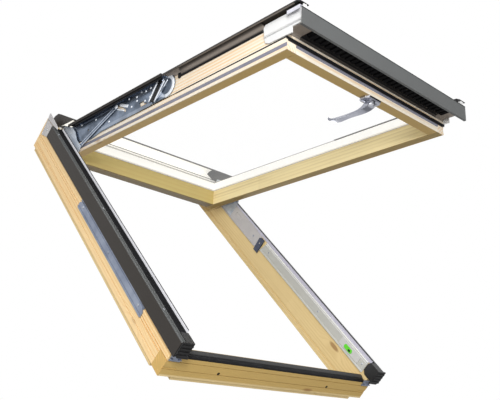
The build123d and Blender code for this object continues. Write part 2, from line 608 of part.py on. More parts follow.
def cover_seal():
    """Rubber strip below the cover's leg, closed by a rounded plug towards the arm."""
    x = -SASH_HALF - SEAT
    strip = sash_profile_z([(x, COVER_LEG - SEAT), (x - 2.2, COVER_LEG - SEAT), (x - 2.6, COVER_LEG - 3), (x - 1.4, COVER_LEG - 6), (x, COVER_LEG - 6)], LOW_COVER_START - 10, SASH_HEIGHT - 78)
    plug = sash_profile_x([(COVER_OUT - 4, LOW_COVER_START - 12), (COVER_OUT - 4, LOW_COVER_START - SEAT), (80, LOW_COVER_START - SEAT), (76, LOW_COVER_START - 6), (81, LOW_COVER_START - 13)], x - 3, x)
    return strip + plug


def cover_cap():
    """Ridged plastic cap with a rounded end, below the side cover."""
    x0, x1 = -COVER_HALF, -SASH_HALF + 7
    nose = 94.6
    outline = [(COVER_OUT, COVER_DOWN - 21), (COVER_OUT, COVER_DOWN - 11), (nose + 2, COVER_DOWN), (nose, COVER_DOWN), (nose, COVER_DOWN - 4), (COVER_OUT - 4, COVER_DOWN - 11), (COVER_OUT - 4, COVER_DOWN - 21)]
    cap = sash_profile_x(outline, x0, x1)
    for k in (0, 1):
        cap += sash_block(x0 + 1, x1 - 1, COVER_OUT - 1, COVER_OUT + 1, COVER_DOWN - 20 + 5 * k, COVER_DOWN - 17.5 + 5 * k)
    return cap


def skirt():
    """Sheet over the lower end of the glass and the bottom rail, folded back under the sash."""
    out, t = SASH_WOOD + SEAT, SHEET
    start = SASH_HEIGHT - BOTTOM_RAIL_WIDE + 9
    glass_face = GLASS_SEAT + GLASS_THICK + SEAT
    low, lip = COVER_DOWN, 34
    outline = [(glass_face, start), (out + t, start), (out + t, low - 21), (80, low + t), (lip, low + t), (lip, low - 6), (lip + t, low - 6),
               (lip + t, low), (80 - 0.6, low), (out, low - 21.6), (out, start + t), (glass_face, start + t)]
    x = SASH_HALF - CAP_WIDE - SEAT
    body = sash_profile_x(outline, -x, x)
    fin = sash_profile_x([(lip, low), (79.4, low), (79.4, low + t), (lip, low + t)], -COVER_HALF + 4, COVER_HALF - 4)
    ends = sash_profile_x([(lip, low - 6), (lip + t, low - 6), (lip + t, low + 1), (lip, low + 1)], -COVER_HALF + 4, COVER_HALF - 4)
    return body + fin + ends


def closure():
    """Sheet between the bottom rail and the skirt, with a foot on the timber."""
    x, t = SASH_HALF - 1, SHEET
    foot = SASH_HEIGHT + SEAT
    out, end = CLOSURE_OUT, COVER_DOWN - SEAT
    section = [(out - 7, foot), (out - 7, foot + 1), (out - 2, foot + 3), (out, foot + 8), (out, end), (out + t, end), (out + t, foot + 7), (out + t, foot)]
    return sash_profile_x(section, -x, x)


def brush():
    """Strip of short bristles on a back, below the closure sheet."""
    x, start, end = BRUSH_HALF, SASH_HEIGHT + 23, COVER_DOWN - 8
    out = CLOSURE_OUT - SEAT
    back = sash_block(-x, x, out - 5, out, start, end)
    count = 30
    pitch = 2 * x / count
    middle = sash_place(out - 7.5, 0)[0]
    places = GridLocations(pitch, 1, count, 1)
    row = Sketch() + [Pos(place.position.X, middle) * Rectangle(0.6 * pitch, 6) for place in places]
    return back + extrude(Plane.XY.offset(SASH_TOP - end + 2) * row, end - start - 4, dir=(0, 0, 1))


def black_seals():
    """Black seals: flat strips in the narrow grooves of the stiles, a lipped one under the rail."""
    x = -SASH_HALF
    side = sash_block(x - 0.3, x + 2.7, 33.3, 35.7, 4, SASH_HEIGHT - 4)
    foot = SASH_HEIGHT + SEAT
    half = SASH_HALF + 3
    low = [(28, foot), (34.4, foot), (35.5, foot + 1.2), (34.4, foot + 3), (32, foot + 2), (28, foot + 1.6)]
    return pair(side) + sash_profile_x(low, -half, half)


def corner_piece():
    """Pale moulded piece on the stile's lower end: base plate, raised body and an edge rim."""
    x = -SASH_HALF - SEAT
    top, low = SASH_HEIGHT - 77, COVER_DOWN - SEAT
    notch = CLOSURE_OUT + SHEET + SEAT
    base = [(38, top + 18), (44, top + 5), (58, top), (86, top), (94, top + 8), (94, low), (notch, low), (notch, SASH_HEIGHT + 20), (36, SASH_HEIGHT + 20)]
    plate = sash_profile_x(base, x - 3.4, x)
    body = [(60, top + 6), (84, top + 3), (92, top + 10), (92, low), (60, low)]
    plate += sash_profile_x(body, x - CORNER_BODY, x - 3)
    for k, rise in enumerate((2.8, 1.6)):
        edge = [(57 + 1.2 * k, top + 4), (61, top + 4), (61, low), (57 + 1.2 * k, low)]
        plate += sash_profile_x(edge, x - CORNER_BODY + rise * (2 - k), x - 3)
    rim = sash_profile_x([(notch, low - 3), (93, low - 3), (93, low), (notch, low)], x - CORNER_BODY - 2.5, x)
    return plate + rim


def corner_clip():
    """Bent steel clip between the corner piece and the cover."""
    x0, x1 = -COVER_HALF + 2 * SHEET + 1, -SASH_HALF - 2 * SEAT - CORNER_BODY
    clip = sash_block(x0, x1, 88, 89.6, SASH_HEIGHT + 17, SASH_HEIGHT + 60)
    clip += sash_block(x0, x0 + 1.6, 79, 89.6, SASH_HEIGHT + 17, SASH_HEIGHT + 60)
    return clip + sash_block(x0 + 4, x1 - 3, 89.6, 92.4, SASH_HEIGHT + 22, SASH_HEIGHT + 55)


def handle_base():
    """Rounded plate under the lever."""
    y, z = sash_place(-SEAT, HANDLE_DOWN)
    corners = [(-34, -9), (-34, 9), (-25, 18), (25, 18), (34, 9), (34, -9), (25, -18), (-25, -18)]
    plate = Plane.XZ.offset(-y) * outline_face([(HANDLE_X + a, z + b) for a, b in corners], 0, None)
    base = extrude(plate, 7.5, dir=(0, 1, 0))
    return chamfer(base.faces().sort_by(Axis.Y)[-1].edges(), 2.5)


def handle_lever():
    """Curved blade with a hooked tip, cut from its side view and its front view, on a round hub."""
    foot, tip = HANDLE_DOWN, HANDLE_DOWN - LEVER_LENGTH
    rise, thick = LEVER_RISE, LEVER_THICK
    upper = [(12, foot + 13), (rise - 9, foot + 5), (rise - 2, foot - 14), (rise, foot - 40), (rise - 1, foot - 90), (rise - 1.5, tip + 24), (rise - 7, tip + 7), (12, tip)]
    lower = [(9, tip + 4), (rise - thick - 4.5, tip + 16), (rise - thick - 1.5, tip + 34), (rise - thick, foot - 60), (rise - thick - 3, foot - 24), (12, foot - 12)]
    upper = [(SASH_FACE_Y + out, SASH_TOP - down) for out, down in upper]
    lower = [(SASH_FACE_Y + out, SASH_TOP - down) for out, down in lower]
    side = Spline(*upper) + Line(upper[-1], lower[0]) + Spline(*lower) + Line(lower[-1], upper[0])
    blade = extrude(Plane.YZ.offset(HANDLE_X - 20) * make_face(side), 40, dir=(1, 0, 0))
    half = [(HANDLE_X - 14, foot + 14), (HANDLE_X - 13, foot - 20), (HANDLE_X - 9.5, foot - 70), (HANDLE_X - 10.5, tip + 20), (HANDLE_X - 7, tip - 2)]
    left = [(x, SASH_TOP - down) for x, down in half]
    right = [(2 * HANDLE_X - x, z) for x, z in reversed(left)]
    front = Spline(*left) + Line(left[-1], right[0]) + Spline(*right) + Line(right[-1], left[0])
    plan = extrude(Plane.XZ.offset(-SASH_FACE_Y) * make_face(front), 60, dir=(0, 1, 0))
    z = SASH_TOP - foot
    hub = Pos(HANDLE_X, SASH_FACE_Y + 8.3 + 7, z) * Rot(90, 0, 0) * Cylinder(HANDLE_HUB, 14)
    hub = chamfer(hub.faces().sort_by(Axis.Y)[-1].edges(), 4)
    return hub + (blade & plan)


def pivot_pin():
    """Pin from the stile through the arm, with a flat head."""
    head = -ARM_X - ARM_THICK - SEAT
    pin = sash_rod(head - 1.7, -SASH_HALF - SEAT, PIVOT_OUT, PIVOT_DOWN, PIVOT_RADIUS)
    return pin + sash_rod(head - 1.7, head, PIVOT_OUT, PIVOT_DOWN, PIVOT_RADIUS + 2)


NODES = {
    "frame_jamb_left": jamb(),
    "frame_jamb_right": mirrored(jamb()),
    "frame_head": head(),
    "frame_sill": sill(),
    "jamb_claddings": pair(jamb_cladding()),
    "jamb_gaskets": pair(jamb_gasket()),
    "reveal_trims": pair(reveal_trim()),
    "corner_caps": pair(corner_cap()),
    "sill_clips": pair(sill_clip()),
    "sill_cladding": sill_cladding(),
    "sill_gasket": sill_gasket(),
    "fixing_strips": pair(fixing_strip()),
    "top_plates": pair(top_plate()),
    "keeper_plates": pair(keeper_plate()),
    "lower_channels": pair(lower_channel()),
    "striker_brackets": pair(striker_bracket()),
    "level_plate": mirrored(level_plate()),
    "level_vial": mirrored(level_vial()),
    "hinge_brackets": pair(hinge_bracket()),
    "head_hood": head_hood(),
    "arm_left": opened(arm()),
    "arm_right": opened(mirrored(arm())),
    "arm_covers": pair(opened(arm_cover())),
    "arm_seals": pair(opened(arm_seal())),
    "stays": pair(stay()),
    "sash_stile_left": opened(stile()),
    "sash_stile_right": opened(mirrored(stile())),
    "sash_top_rail": opened(rail_top()),
    "sash_bottom_rail": opened(rail_bottom()),
    "sash_gaskets": opened(sash_gaskets()),
    "sash_black_seals": opened(black_seals()),
    "sash_glass": opened(glass()),
    "glass_spacer": opened(spacer()),
    "glazing_caps": pair(opened(glazing_cap())) + opened(top_cap()),
    "sash_covers": pair(opened(sash_cover())),
    "cover_seals": pair(opened(cover_seal())),
    "cover_caps": pair(opened(cover_cap())),
    "sash_skirt": opened(skirt()),
    "sash_closure": opened(closure()),
    "vent_brush": opened(brush()),
    "sash_corner_pieces": pair(opened(corner_piece())),
    "corner_clips": pair(opened(corner_clip())),
    "handle_base": opened(handle_base()),
    "handle_lever": opened(handle_lever()),
    "pivot_pins": pair(opened(pivot_pin())),
}

os.makedirs("parts", exist_ok=True)
for name, piece in NODES.items():
    export_step(placed(piece), f"parts/{name}.step")
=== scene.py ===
import json
import math

import bmesh
import bpy
import numpy as np
from bpy.props import FloatProperty, FloatVectorProperty, PointerProperty
from bpy.types import Operator, Panel, PropertyGroup
from mathutils import Matrix


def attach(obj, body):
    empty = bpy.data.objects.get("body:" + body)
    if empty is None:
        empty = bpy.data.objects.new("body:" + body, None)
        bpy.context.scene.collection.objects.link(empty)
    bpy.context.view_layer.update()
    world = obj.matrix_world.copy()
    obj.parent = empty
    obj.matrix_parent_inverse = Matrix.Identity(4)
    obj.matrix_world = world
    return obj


bl_info = {
    "name": "Top-Hung Roof Window",
    "version": (1, 0, 0),
    "blender": (4, 5, 0),
    "location": "3D View > Sidebar > Roof Window",
    "description": "Dresses the packed roof window with its finishes, fasteners and a studio",
    "category": "Object",
}

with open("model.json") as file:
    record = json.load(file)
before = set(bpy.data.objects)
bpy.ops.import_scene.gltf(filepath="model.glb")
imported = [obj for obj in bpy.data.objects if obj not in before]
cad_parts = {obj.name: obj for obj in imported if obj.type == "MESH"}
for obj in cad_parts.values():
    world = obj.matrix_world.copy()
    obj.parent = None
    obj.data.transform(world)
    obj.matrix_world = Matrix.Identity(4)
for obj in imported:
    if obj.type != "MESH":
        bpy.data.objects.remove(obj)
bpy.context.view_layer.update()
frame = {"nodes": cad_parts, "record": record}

JOINTS = {joint["name"]: joint for joint in frame["record"]["behaviour"]["joints"]}
HINGE = JOINTS["top_hinge"]["pos_m"]
OPENING = math.radians(45.56)  # the sash's swing in the photo
WEATHER_Y = -0.0875  # outer metal face of the frame
SASH_FACE = WEATHER_Y + 0.050  # room face of the closed sash
SASH_TOP = 1.110  # top edge of the closed sash
HALF = 0.390  # half the frame's width
SASH_HALF = 0.347  # half the sash's width
PLATE_X = 0.3607  # reveal plates lie on the jamb's inner face
ARM_X = 0.3510  # outer face of an arm
ARM_PLATE_X = 0.3512  # middle of the thin plates on an arm
FORK_X = 0.3538  # middle of the raised fork bars
ARM_STUD = (0.090, 0.340)  # out and down of the stay's stud
MIDDLE_PIVOT = (0.070, 0.598)  # out and down of the middle pivot
END_RING = 0.0300  # radius of the ring round it
SILL_SCREW_X = 0.211  # screws in the sill's underside
PATH_POINTS = 9  # points along a straight bead or bar
STAY_PIN = (-0.012, 0.952)  # depth and height of the stay's pin on the frame
STAY_ACROSS = (0.4072, -0.9133)  # direction across the open stay
ARM_RIVETS = (  # out and down of the rivets on an arm
    (0.085, 0.218), (0.063, 0.422), (0.088, 0.447), (0.074, 0.449), (0.059, 0.492), (0.092, 0.493),
    (0.064, 0.517), (0.094, 0.518), (0.096, 0.405), (0.097, 0.470), (0.052, 0.300), (0.094, 0.130),
)
FORK_BARS = (  # out and down of the ends of the fork's bars
    ((0.046, 0.515), (0.104, 0.556)),
    ((0.038, 0.544), (0.092, 0.588)),
)
ARM_LUGS = (  # ends and half width of the plates that hold the stay's stud and the fork
    ((0.093, 0.354), (0.072, 0.402), 0.0050),
    ((0.082, 0.340), (0.064, 0.382), 0.0022),
    ((0.083, 0.552), (0.104, 0.578), 0.0060),
    ((0.066, 0.575), (0.092, 0.600), 0.0030),
)


# Places on the object

def on_sash(points):
    """Points (x, out from the room face, down from the top) of the closed sash, swung open.

    y = face - out and z = top - down, then both turn about the upper hinge by the opening angle:
    y' = hy + dy cos + dz sin, z' = hz - dy sin + dz cos.
    """
    points = np.asarray(points, float)
    dy = SASH_FACE - points[..., 1] - HINGE[1]
    dz = SASH_TOP - points[..., 2] - HINGE[2]
    cosine, sine = math.cos(OPENING), math.sin(OPENING)
    y = HINGE[1] + dy * cosine + dz * sine
    z = HINGE[2] - dy * sine + dz * cosine
    return np.stack([points[..., 0], y, z], -1)


def sash_direction(x, out, down):
    """Direction on the opened sash, from its parts across, out and down."""
    return on_sash([x, out, down]) - on_sash([0, 0, 0])


def on_frame(x, y, z):
    """A place on the fixed frame, with y counted from the outer metal face."""
    return np.array([x, WEATHER_Y + y, z])


# Meshes from arrays

def grid_faces(rows, columns, closed):
    """Corner numbers of the quads of a grid; a closed grid joins its last column to its first."""
    last = columns if closed else columns - 1
    r, c = np.meshgrid(np.arange(rows - 1), np.arange(last), indexing="ij")
    right = (c + 1) % columns
    this_row, next_row = r * columns, (r + 1) * columns
    return np.stack([this_row + c, this_row + right, next_row + right, next_row + c], -1).reshape(-1, 4)


def surface_mesh(name, grids, closed, material, smooth=True):
    """One mesh object from equal grids of points, an array (copies, rows, columns, 3)."""
    grids = np.asarray(grids, float)
    copies, rows, columns = grids.shape[:3]
    quads = grid_faces(rows, columns, closed)
    starts = np.arange(copies)[:, None, None] * rows * columns
    faces = (quads[None] + starts).reshape(-1, 4)
    mesh = bpy.data.meshes.new(name)
    mesh.from_pydata(grids.reshape(-1, 3), [], faces)
    work = bmesh.new()
    work.from_mesh(mesh)
    bmesh.ops.remove_doubles(work, verts=work.verts, dist=1e-7)
    bmesh.ops.recalc_face_normals(work, faces=work.faces)
    work.to_mesh(mesh)
    work.free()
    mesh.polygons.foreach_set("use_smooth", np.full(len(mesh.polygons), smooth))
    piece = bpy.data.objects.new(name, mesh)
    bpy.context.scene.collection.objects.link(piece)
    piece.data.materials.append(material)
    return piece


def frame_of(normal):
    """Three directions with the last one along the normal."""
    normal = np.asarray(normal, float) / np.linalg.norm(normal)
    helper = np.array([0.0, 0.0, 1.0]) if abs(normal[2]) < 0.9 else np.array([1.0, 0.0, 0.0])
    first = np.cross(helper, normal)
    first /= np.linalg.norm(first)
    return np.stack([first, np.cross(normal, first), normal])


def stood(points, place, normal):
    """Local points with their height along Z, stood on a place with that normal."""
    return np.asarray(points) @ frame_of(normal) + np.asarray(place)


def turned(profile, sides):
    """A profile of (radius, height) turned about Z: x = r cos a, y = r sin a, z = h."""
    profile = np.asarray(profile, float)
    angle = np.linspace(0, 2 * math.pi, sides, endpoint=False)
    x = profile[:, :1] * np.cos(angle)
    y = profile[:, :1] * np.sin(angle)
    z = np.repeat(profile[:, 1:], sides, axis=1)
    return np.stack([x, y, z], -1)


def ellipse(wide, high, count=12):
    """A closed section: a = w cos t, b = h sin t."""
    angle = np.linspace(0, 2 * math.pi, count, endpoint=False)
    return np.stack([wide * np.cos(angle), high * np.sin(angle)], -1)


def swept(path, section, up):
    """A closed section carried along a path and closed at both ends.

    Each point is p + a (t x u) + b u, with t the path's direction and u the given up direction
    made square to it.
    """
    path, section, up = np.asarray(path, float), np.asarray(section, float), np.asarray(up, float)
    along = np.gradient(path, axis=0)
    along /= np.linalg.norm(along, axis=1, keepdims=True)
    side = np.cross(along, up)
    side /= np.linalg.norm(side, axis=1, keepdims=True)
    rise = np.cross(side, along)
    body = path[:, None] + section[None, :, :1] * side[:, None] + section[None, :, 1:] * rise[:, None]
    first = np.repeat(path[:1, None], len(section), axis=1)
    last = np.repeat(path[-1:, None], len(section), axis=1)
    return np.concatenate([first, body, last])


def straight(start, end, section, up, place=np.asarray):
    """A section carried straight between two points, which are first placed on the object."""
    return swept(place(np.linspace(start, end, PATH_POINTS)), section, up)


def screw_head(radius, height):
    """Domed head with a cross recess, on a polar grid.

    The height is h (1 - (r / R)^4) over a straight rim, less the recess where the point lies in
    either arm of the cross.
    """
    r = np.concatenate([np.linspace(0.001, 0.86, 9), [0.95, 1.0, 1.0]]) * radius
    angle = np.linspace(0, 2 * math.pi, 32, endpoint=False)
    x, y = r[:, None] * np.cos(angle), r[:, None] * np.sin(angle)
    z = height * (1 - 0.55 * (r[:, None] / radius) ** 4) * np.ones_like(x)
    arm, reach = 0.17 * radius, 0.55 * radius
    cross = ((abs(x) < arm) & (abs(y) < reach)) | ((abs(y) < arm) & (abs(x) < reach))
    z = np.where(cross, z - 0.7 * height, z)
    z[-1] = -0.0002
    middle = np.zeros((1, 32, 3))
    middle[..., 2] = 0.3 * height
    return np.concatenate([middle, np.stack([x, y, z], -1)])


# Finishes

RING_STEP = 0.0085  # width of a year's growth
RING_WANDER = 0.022  # sideways drift of the rings
KNOT_BEND = 0.020  # how far the rings bend round a knot
KNOT_SCALE = 9.0  # cells a metre that may hold a knot
FIBRE_SCALE = 420.0  # fibres a metre across the grain
STICKS_PER_METRE = 2.7  # jointed lengths a metre


class Value:
    """A number that varies over a surface. Arithmetic on it adds Math nodes."""

    def __init__(self, finish, socket):
        self.finish = finish
        self.socket = socket

    def math(self, operation, first, second=0.0, clamp=False):
        choice = {"operation": operation, "use_clamp": clamp}
        return self.finish.node("ShaderNodeMath", choice, {0: first, 1: second})

    def __add__(self, other):
        return self.math("ADD", self, other)

    def __radd__(self, other):
        return self.math("ADD", other, self)

    def __sub__(self, other):
        return self.math("SUBTRACT", self, other)

    def __mul__(self, other):
        return self.math("MULTIPLY", self, other)

    def __truediv__(self, other):
        return self.math("DIVIDE", self, other)

    def __pow__(self, other):
        return self.math("POWER", self, other)

    def clipped(self):
        """The number held between 0 and 1."""
        return self.math("ADD", self, 0.0, True)

    def floored(self):
        return self.math("FLOOR", self)


class Finish:
    """A material under construction."""

    def __init__(self, name):
        self.material = bpy.data.materials.new(name)
        self.material.use_nodes = True
        self.tree = self.material.node_tree
        self.tree.nodes.clear()

    def node(self, kind, settings=None, sockets=None, output=0):
        """Adds a node: its settings first, then its sockets as values or links."""
        made = self.tree.nodes.new(kind)
        for key, value in (settings or {}).items():
            if key == "stops":
                for stop, (place, colour) in zip(self.ramp_stops(made, len(value)), value):
                    stop.position = place
                    stop.color = colour
            else:
                setattr(made, key, value)
        for key, value in (sockets or {}).items():
            if isinstance(value, Value):
                self.tree.links.new(value.socket, made.inputs[key])
            else:
                made.inputs[key].default_value = value
        return Value(self, made.outputs[output]) if len(made.outputs) else None

    @staticmethod
    def ramp_stops(made, count):
        """The ramp's stops, with as many as are asked for."""
        stops = made.color_ramp.elements
        while len(stops) < count:
            stops.new(1.0)
        return stops

    def place(self, stretch=(1, 1, 1), shift=(0, 0, 0)):
        """Object coordinates, moved, then stretched."""
        return self.stretched(self.node("ShaderNodeTexCoord", output=3), stretch, shift)

    def on_frame(self):
        """Place as x, depth behind the outer metal face, and height."""
        return self.place((1, 1, 1), (0, -WEATHER_Y, 0))

    def on_sash(self):
        """Place as x, out from the sash's room face, and down from its top, swung back to closed.

        With y, z of the opened piece and hinge (hy, hz): dy = (y - hy) cos - (z - hz) sin,
        dz = (y - hy) sin + (z - hz) cos, out = face - hy - dy, down = top - hz - dz.
        """
        at = self.place((1, 1, 1), (0, -HINGE[1], -HINGE[2]))
        turn = {"Vector": at, "Rotation": (OPENING, 0, 0)}
        swung = self.node("ShaderNodeMapping", {"vector_type": "POINT"}, turn)
        flipped = self.node("ShaderNodeVectorMath", {"operation": "MULTIPLY"}, {0: swung, 1: (1, -1, -1)})
        start = (0, SASH_FACE - HINGE[1], SASH_TOP - HINGE[2])
        return self.node("ShaderNodeVectorMath", {"operation": "ADD"}, {0: flipped, 1: start})

    def stretched(self, place, stretch, shift=(0, 0, 0)):
        """A place moved, then stretched."""
        moved = self.node("ShaderNodeVectorMath", {"operation": "ADD"}, {0: place, 1: shift})
        return self.node("ShaderNodeVectorMath", {"operation": "MULTIPLY"}, {0: moved, 1: stretch})

    def part(self, vector, axis):
        """One part of a vector: 0, 1 or 2."""
        return self.node("ShaderNodeSeparateXYZ", {}, {0: vector}, axis)

    def parts(self, vector, axes=(0, 1, 2)):
        return [self.part(vector, axis) for axis in axes]

    def noise(self, place, scale, detail=3.0, roughness=0.55):
        sockets = {"Vector": place, "Scale": scale, "Detail": detail, "Roughness": roughness}
        return self.node("ShaderNodeTexNoise", {}, sockets)

    def tint(self, factor, first, second):
        """Colour between two colours."""
        return self.node("ShaderNodeMix", {"data_type": "RGBA"}, {0: factor, 6: first, 7: second}, 2)

    def band(self, factor, low, high):
        """0 below low, 1 above high, and a smooth rise between them."""
        sockets = {"Value": factor, "From Min": low, "From Max": high}
        return self.node("ShaderNodeMapRange", {"interpolation_type": "SMOOTHSTEP"}, sockets)

    def between(self, value, low, high, soft=0.0008):
        """1 between two values and 0 outside, with soft edges."""
        return self.band(value, low - soft, low + soft) - self.band(value, high - soft, high + soft)

    def size(self, value):
        """The number without its sign."""
        return self.node("ShaderNodeMath", {"operation": "ABSOLUTE"}, {0: value})

    def finished(self, sockets, relief=None, depth=0.0005, strength=0.5):
        """Ends the material with one principled shader and returns it."""
        sockets = dict(sockets)
        if relief is not None:
            bump = {"Height": relief, "Distance": depth, "Strength": strength}
            sockets["Normal"] = self.node("ShaderNodeBump", {}, bump)
        shader = self.node("ShaderNodeBsdfPrincipled", {}, sockets)
        self.node("ShaderNodeOutputMaterial", {}, {"Surface": shader})
        return self.material


def pine(name, colours, moving, along, shift, outer, faces, painted_light_strength=0.0):
    """Clear lacquered pine with growth rings, fine fibres, knots and jointed lengths.

    The rings are a saw wave of the distance from a wandering axis, r = sqrt(a^2 + b^2), where a and b are
    the two directions across the grain, and they bend round the knots. Faces on the room side are warmer
    and darker than the sides: the wood's tone with painted shade. The glow that the last argument gives is
    painted light on the pale front of the frame's head.
    """
    finish = Finish(name)
    local = finish.on_sash() if moving else finish.on_frame()
    lengthwise = 0 if along == "X" else 2
    slow, fine, oval = [tuple(along_grain if axis == lengthwise else 1.0 for axis in range(3))
                        for along_grain in (0.06, 0.02, 0.30)]
    moved = finish.stretched(local, (1, 1, 1), shift)
    wander = finish.noise(finish.stretched(moved, slow), 8.0, 2.0)
    first, second = [finish.part(moved, axis) for axis in range(3) if axis != lengthwise]
    knots = finish.node("ShaderNodeTexVoronoi", {"feature": "F1"},
                        {"Vector": finish.stretched(moved, oval), "Scale": KNOT_SCALE})
    around = finish.band(knots, 0.26, 0.02)
    core = finish.band(knots, 0.085, 0.045)
    drift = wander * RING_WANDER + around * KNOT_BEND
    across = ((first * first + second * second) ** 0.5 + drift) / RING_STEP
    growth = finish.band(across - across.floored(), 0.30, 0.95)
    growth = growth * finish.band(finish.noise(finish.stretched(moved, slow), 30.0, 2.0), 0.30, 0.65)
    fibres = finish.noise(finish.stretched(moved, fine), FIBRE_SCALE, 3.0, 0.7)
    stick = finish.node("ShaderNodeTexWhiteNoise", {"noise_dimensions": "1D"},
                        {"W": (finish.part(moved, lengthwise) * STICKS_PER_METRE).floored()})
    patches = finish.noise(finish.stretched(moved, slow), 26.0, 2.0)
    x, depth, down = finish.parts(local)
    if moving:
        side = (finish.band(finish.size(x), SASH_HALF - 0.004, SASH_HALF - 0.001)
                + finish.band(down, 1.0725, 1.0745)).clipped()
    else:
        side = finish.band(finish.size(x), HALF - 0.004, HALF - 0.001)
    # Room faces and reveals are darker than the sides: the wood's tone with painted shade.
    inner, face = faces
    room = inner
    if moving:
        room = finish.tint(finish.band(depth, 0.0012, 0.0024), face, inner)
    elif along == "X":
        room = finish.tint(finish.band(depth, 0.110, 0.112), outer, inner)
    colour = finish.tint(side, room, outer)
    line = finish.tint(side, colours.pine_room_line, colours.pine_line)
    colour = finish.tint(growth * (side * 0.30 + 0.36) + fibres * 0.10, colour, line)
    colour = finish.tint(finish.band(fibres, 0.52, 0.78) * 0.22, colour, line)
    colour = finish.tint(finish.band(patches, 0.35, 0.75) * 0.16 + stick * 0.10, colour, line)
    colour = finish.tint(core * 0.75, colour, colours.pine_knot)
    sockets = {"Roughness": 0.46 + fibres * 0.16 - growth * 0.05, "Specular IOR Level": 0.08}
    # Painted light: the front of the frame's head is pale and glows.
    if painted_light_strength > 0:
        front = finish.band(depth, 0.034, 0.030)
        colour = finish.tint(front * 0.92, colour, colours.head_front_painted_light)
        sockets["Emission Color"] = finish.tint(front, (0, 0, 0, 1), colours.head_front_painted_light)
        sockets["Emission Strength"] = painted_light_strength
    sockets["Base Color"] = colour
    return finish.finished(sockets, growth * 0.4 + fibres * 0.6, 0.0003, 0.25)


def coated(name, colour, worn, rough=0.40, metallic=0.2, light=None, light_band=None):
    """Baked coating on folded sheet: fine orange peel, faint streaks and rubbed spots.

    light_band gives, from the finish, a mask of the places that the lighter colour takes.
    """
    finish = Finish(name)
    plain = finish.place()
    grain = finish.noise(plain, 900.0, 2.0)
    cloud = finish.noise(plain, 9.0, 3.0)
    streaks = finish.noise(finish.place((1, 1, 0.08)), 160.0, 3.0)
    rub = finish.band(cloud * 0.6 + streaks * 0.4, 0.50, 0.74)
    tone = finish.tint(rub * 0.22, colour, worn)
    sockets = {"Metallic": metallic, "Specular IOR Level": 0.14,
               "Roughness": rough + cloud * 0.12 - rub * 0.04}
    if light_band is not None:
        tone = finish.tint(light_band(finish), tone, light)
    sockets["Base Color"] = tone
    return finish.finished(sockets, grain + streaks * 0.4, 0.0002, 0.04)


def plated(name, colour, dark, rough=0.3, depth=0.9, light=None, light_band=None):
    """Zinc plated steel: pale spangles, drawn lines, dull patches and a painted reflection that darkens it
    at grazing views.
    """
    finish = Finish(name)
    plain = finish.place()
    spangle = finish.node("ShaderNodeTexVoronoi", {"feature": "F1"}, {"Vector": plain, "Scale": 190.0})
    drawn = finish.noise(finish.place((1, 0.10, 0.10)), 500.0, 2.0)
    dull = finish.band(finish.noise(plain, 16.0, 4.0), 0.36, 0.68)
    # Painted reflection: darker where the surface is seen on the turn.
    painted_reflection_angle = finish.node("ShaderNodeLayerWeight", {}, {"Blend": 0.35}, 1)
    tone = finish.tint((dull * 0.6 + drawn * 0.15 + painted_reflection_angle * 0.3).clipped(), colour, dark)
    if light_band is not None:
        tone = finish.tint(light_band(finish), tone, light)
    return finish.finished(
        {"Base Color": tone, "Metallic": depth, "Roughness": rough + dull * 0.14 + spangle * 0.10},
        spangle * 0.5 + drawn * 0.5, 0.0002, 0.12)


def moulded(name, colour, shade, rough=0.45, gloss=0.3, bump=0.12, painted_light_strength=0.0):
    """Moulded plastic or rubber: fine grain and a slight change of tone.

    The last argument is painted light: the part glows though it is no lamp.
    """
    finish = Finish(name)
    plain = finish.place()
    grain = finish.noise(plain, 700.0, 2.0)
    tone = finish.noise(plain, 22.0, 3.0)
    colour = finish.tint(finish.band(tone, 0.35, 0.7) * 0.5, colour, shade)
    return finish.finished(
        {"Base Color": colour, "Roughness": rough + grain * 0.12 - 0.04, "Specular IOR Level": gloss,
         "Emission Color": colour, "Emission Strength": painted_light_strength},
        grain, 0.0002, bump)


def polished_metal(name, colour, edge, rough):
    """Chromed casting with a painted reflection: bright where it faces on, darker on the turn, with faint
    handling marks.
    """
    finish = Finish(name)
    marks = finish.band(finish.noise(finish.place((1, 0.15, 1)), 260.0, 4.0), 0.5, 0.8)
    cloud = finish.noise(finish.place(), 45.0, 2.0)
    # Painted reflection: the bands follow the viewing angle.
    painted_reflection_angle = finish.node("ShaderNodeLayerWeight", {}, {"Blend": 0.5}, 1)
    turn = finish.between(painted_reflection_angle, 0.24, 0.66, 0.14)
    tone = finish.tint((turn + marks * 0.12).clipped(), colour, edge)
    sockets = {"Base Color": tone, "Metallic": 0.95, "Roughness": rough + marks * 0.10 + cloud * 0.08}
    return finish.finished(sockets, marks, 0.0001, 0.1)


def clear_glass(name):
    """Float glass: light goes straight through, and each face shows a faint painted reflection of the pale
    sky.

    The share of that painted reflection is 0.02 + 0.30 (1 - cos)^5, with faint dust in it.
    """
    finish = Finish(name)
    dust = finish.band(finish.noise(finish.place(), 60.0, 4.0), 0.5, 0.8)
    painted_reflection_angle = finish.node("ShaderNodeLayerWeight", {}, {"Blend": 0.5}, 1)
    share = (painted_reflection_angle ** 5.0 * 0.30 + 0.02 + dust * 0.004).clipped()
    clear = finish.node("ShaderNodeBsdfTransparent", {}, {"Color": (1, 1, 1, 1)})
    # Painted reflection: a dark surface that glows white stands in for the sky's reflection.
    painted_sky_reflection = {"Base Color": (0.02, 0.02, 0.02, 1), "Specular IOR Level": 0.0,
                    "Roughness": dust * 0.2 + 0.1,
                    "Emission Color": (0.98, 0.98, 0.97, 1), "Emission Strength": 1.0}
    gloss = finish.node("ShaderNodeBsdfPrincipled", {}, painted_sky_reflection)
    mix = finish.node("ShaderNodeMixShader", {}, {0: share, 1: clear, 2: gloss})
    finish.node("ShaderNodeOutputMaterial", {}, {"Surface": mix})
    return finish.material


